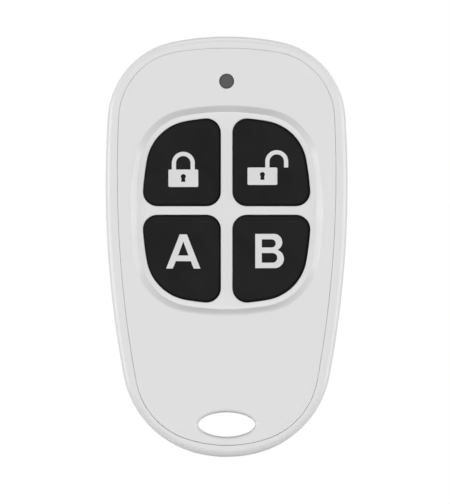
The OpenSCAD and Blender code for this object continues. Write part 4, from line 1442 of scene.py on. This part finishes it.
def board_finish():
    """Green solder mask through which the glass weave shows as crossing threads."""
    material, tree, shader, place = new_finish("solder_mask", Coat_Weight=0.3, Coat_Roughness=0.2)
    threads = []
    for direction in ("X", "Y"):
        waviness = {"Scale": WEAVE_SCALE, "Distortion": WEAVE_WOBBLE}
        wave = add_node(tree, "ShaderNodeTexWave", waviness, bands_direction=direction)
        tree.links.new(place, wave.inputs["Vector"])
        threads.append(wave.outputs["Fac"])
    weave = sum_up(tree, "MAXIMUM", *threads)
    marks = effect(tree, handling_group, place)
    green = blend_colours(tree, weave, MASK_GREEN, THREAD_GREEN)
    tree.links.new(green, shader.inputs["Base Color"])
    tree.links.new(spread(tree, marks["Smudge"], 0.0, 1.0, *MASK_ROUGH), shader.inputs["Roughness"])
    emboss(tree, shader, weave, WEAVE_RELIEF)
    return material


def clear_finish(name, light, dark, rough, **plain):
    """Clear or smoked resin with faint flow clouds and polishing haze."""
    material, tree, shader, place = new_finish(name, IOR=RESIN_IOR, **plain)
    grain = effect(tree, grain_group, place, Scale=RESIN_GRAIN_SCALE)
    marks = effect(tree, handling_group, place)
    tree.links.new(blend_colours(tree, grain["Tone"], light, dark), shader.inputs["Base Color"])
    tree.links.new(spread(tree, marks["Smudge"], 0.0, 1.0, *rough), shader.inputs["Roughness"])
    emboss(tree, shader, grain["Height"], RESIN_RELIEF)
    return material


finishes["board"] = board_finish()
finishes["smoked_lens"] = clear_finish(
    "smoked_lens", light=(0.106, 0.106, 0.107), dark=(0.1, 0.1, 0.101), rough=(0.25, 0.35),
    Specular_IOR_Level=0.1
)
finishes["lamp_resin"] = clear_finish(
    "lamp_resin", light=(0.9, 0.88, 0.78), dark=(0.84, 0.81, 0.7), rough=(0.08, 0.16),
    Transmission_Weight=0.7
)
print(len(finishes), "finishes in all, and the ink")

# %% [markdown]
# ### Finishes on the pieces
# The CAD nodes carry placeholder materials that are named after their slots, so each gets the finish of that
# name. A new piece gets the finish of the node that it stands for, and the ink its own.

# %% Give every piece its finish
def paint(piece, material):
    """The material takes the place of whatever the piece had."""
    piece.data.materials.clear()
    piece.data.materials.append(material)


for node in frame["nodes"].values():
    node.material_slots[0].material = finishes[node.material_slots[0].material.name]
for piece in (shell, plate, door):
    paint(piece, finishes["case_plastic"])
paint(window, finishes["smoked_lens"])
paint(screws, finishes["steel"])
for name in CORNERS:
    paint(keys[name], finishes["key_rubber"])
    paint(webs[name], finishes["silicone"])
    paint(legends[name], ink_finish)
print(len(bpy.data.materials), "materials")

# %% [markdown]
# ## Camera
# The fob is seen straight from above with a long lens, so that the walls of the key ring hole hardly show.
# One pixel of the 450 x 504 picture is a known length on the front of the fob, which gives the distance.

# %% Camera over the fob
PICTURE_WIDTH = 450
PICTURE_HEIGHT = 504
PIXEL = 0.14744 * MM
FOB_PIXEL_X = 226.65
FOB_PIXEL_Y = 246.8
FOCUS_Z = 9.8 * MM
LENS_MM = 900
SENSOR_MM = 36
camera_data = bpy.data.cameras.new("camera")
camera_data.lens = LENS_MM
camera_data.sensor_width = SENSOR_MM
camera = bpy.data.objects.new("camera", camera_data)
bpy.context.scene.collection.objects.link(camera)
camera.location = (
    (PICTURE_WIDTH / 2 - FOB_PIXEL_X) * PIXEL,
    (FOB_PIXEL_Y - PICTURE_HEIGHT / 2) * PIXEL,
    FOCUS_Z + PICTURE_HEIGHT * PIXEL * LENS_MM / SENSOR_MM,
)
bpy.context.scene.camera = camera
print("camera at", [round(v, 4) for v in camera.location])

# %% [markdown]
# ## Light
# A large soft lamp overhead does most of the work. A low and a higher lamp on each side brighten the slopes
# that face them, as the white walls of a light tent do. Two flat lamps lie almost level with the floor and
# reach only the ends of the case, so the slopes at the ends of the recess stay darker than the face.

# %% Soft lamps
def soft_lamp(name, azimuth, elevation, distance, width, height, share):
    """An area lamp aimed at the fob. The share is the light that it gives on a level surface."""
    turn, lift = math.radians(azimuth), math.radians(elevation)
    way = Vector((math.cos(turn) * math.cos(lift), math.sin(turn) * math.cos(lift), math.sin(lift)))
    data = bpy.data.lights.new(name, "AREA")
    data.shape = "RECTANGLE"
    data.size = width
    data.size_y = height
    data.energy = share * math.pi ** 2 * distance ** 2 / way.z
    lamp = bpy.data.objects.new(name, data)
    lamp.location = way * distance
    lamp.rotation_euler = way.to_track_quat("Z", "Y").to_euler()
    lamp.visible_camera = False
    bpy.context.scene.collection.objects.link(lamp)
    return lamp


# Distance, width and height of each kind of lamp, in metres
OVERHEAD_LAMP = (2.2, 2.7, 2.7)
LOW_LAMP = (0.8, 0.5, 0.1)
HIGH_LAMP = (0.8, 0.5, 0.2)
END_LAMP = (0.8, 0.5, 0.02)
soft_lamp("overhead_lamp", 0, 90, *OVERHEAD_LAMP, 0.94)
soft_lamp("left_low_lamp", 180, 5, *LOW_LAMP, 0.025)
soft_lamp("left_high_lamp", 180, 28, *HIGH_LAMP, 0.1)
soft_lamp("right_low_lamp", 0, 5, *LOW_LAMP, 0.0245)
soft_lamp("right_high_lamp", 0, 28, *HIGH_LAMP, 0.092)
soft_lamp("upper_end_lamp", 90, 1, *END_LAMP, 0.0046)
soft_lamp("ring_end_lamp", 270, 1, *END_LAMP, 0.0009)
print("lamps:", *sorted(lamp.name for lamp in bpy.data.lights))

# %% [markdown]
# ## Floor and background
# The fob lies on a white floor in a white room. Both are white to the camera and to reflections, by the
# Light Path node, which keeps the background white at a plain light level. The room itself gives no light,
# and the floor throws a little back up. A trace of the fob's shadow is kept on the floor.

# %% White world and floor
FLOOR_GAP = 0.02 * MM
FLOOR_WIDTH = 6.0
FLOOR_BOUNCE = 0.4
FLOOR_GLOW = 1.025
SHADOW_SHARE = 0.03


def seen_directly(tree):
    """One for camera, glossy and transmission rays, and zero for light that only bounces."""
    path = add_node(tree, "ShaderNodeLightPath").outputs
    shiny = sum_up(tree, "MAXIMUM", path["Is Glossy Ray"], path["Is Transmission Ray"])
    return sum_up(tree, "MAXIMUM", path["Is Camera Ray"], shiny)


world = bpy.data.worlds.new("white_room")
world.use_nodes = True
bpy.context.scene.world = world
sky = world.node_tree.nodes["Background"]
sky.inputs["Color"].default_value = (1.0, 1.0, 1.0, 1.0)
world.node_tree.links.new(seen_directly(world.node_tree), sky.inputs["Strength"])

put_down()
bpy.ops.mesh.primitive_plane_add(size=FLOOR_WIDTH, location=(0, 0, -FLOOR_GAP))
floor = bpy.context.object
floor.name = "floor"
floor_finish = bpy.data.materials.new("white_floor")
floor_finish.use_nodes = True
floor_tree = floor_finish.node_tree
floor_tree.nodes.clear()
matt = add_node(floor_tree, "ShaderNodeBsdfDiffuse", {"Color": (FLOOR_BOUNCE,) * 3 + (1.0,)})
glow = add_node(floor_tree, "ShaderNodeEmission", {"Strength": FLOOR_GLOW})
mix = add_node(floor_tree, "ShaderNodeMixShader")
surface = add_node(floor_tree, "ShaderNodeOutputMaterial")
bright_share = spread(floor_tree, seen_directly(floor_tree), 0.0, 1.0, 0.0, 1.0 - SHADOW_SHARE)
floor_tree.links.new(bright_share, mix.inputs["Fac"])
floor_tree.links.new(matt.outputs["BSDF"], mix.inputs[1])
floor_tree.links.new(glow.outputs["Emission"], mix.inputs[2])
floor_tree.links.new(mix.outputs["Shader"], surface.inputs["Surface"])
paint(floor, floor_finish)
bpy.context.scene.view_settings.view_transform = "Standard"
print(f"floor {FLOOR_WIDTH:.0f} m wide, {FLOOR_GAP / MM:.2f} mm under the fob")
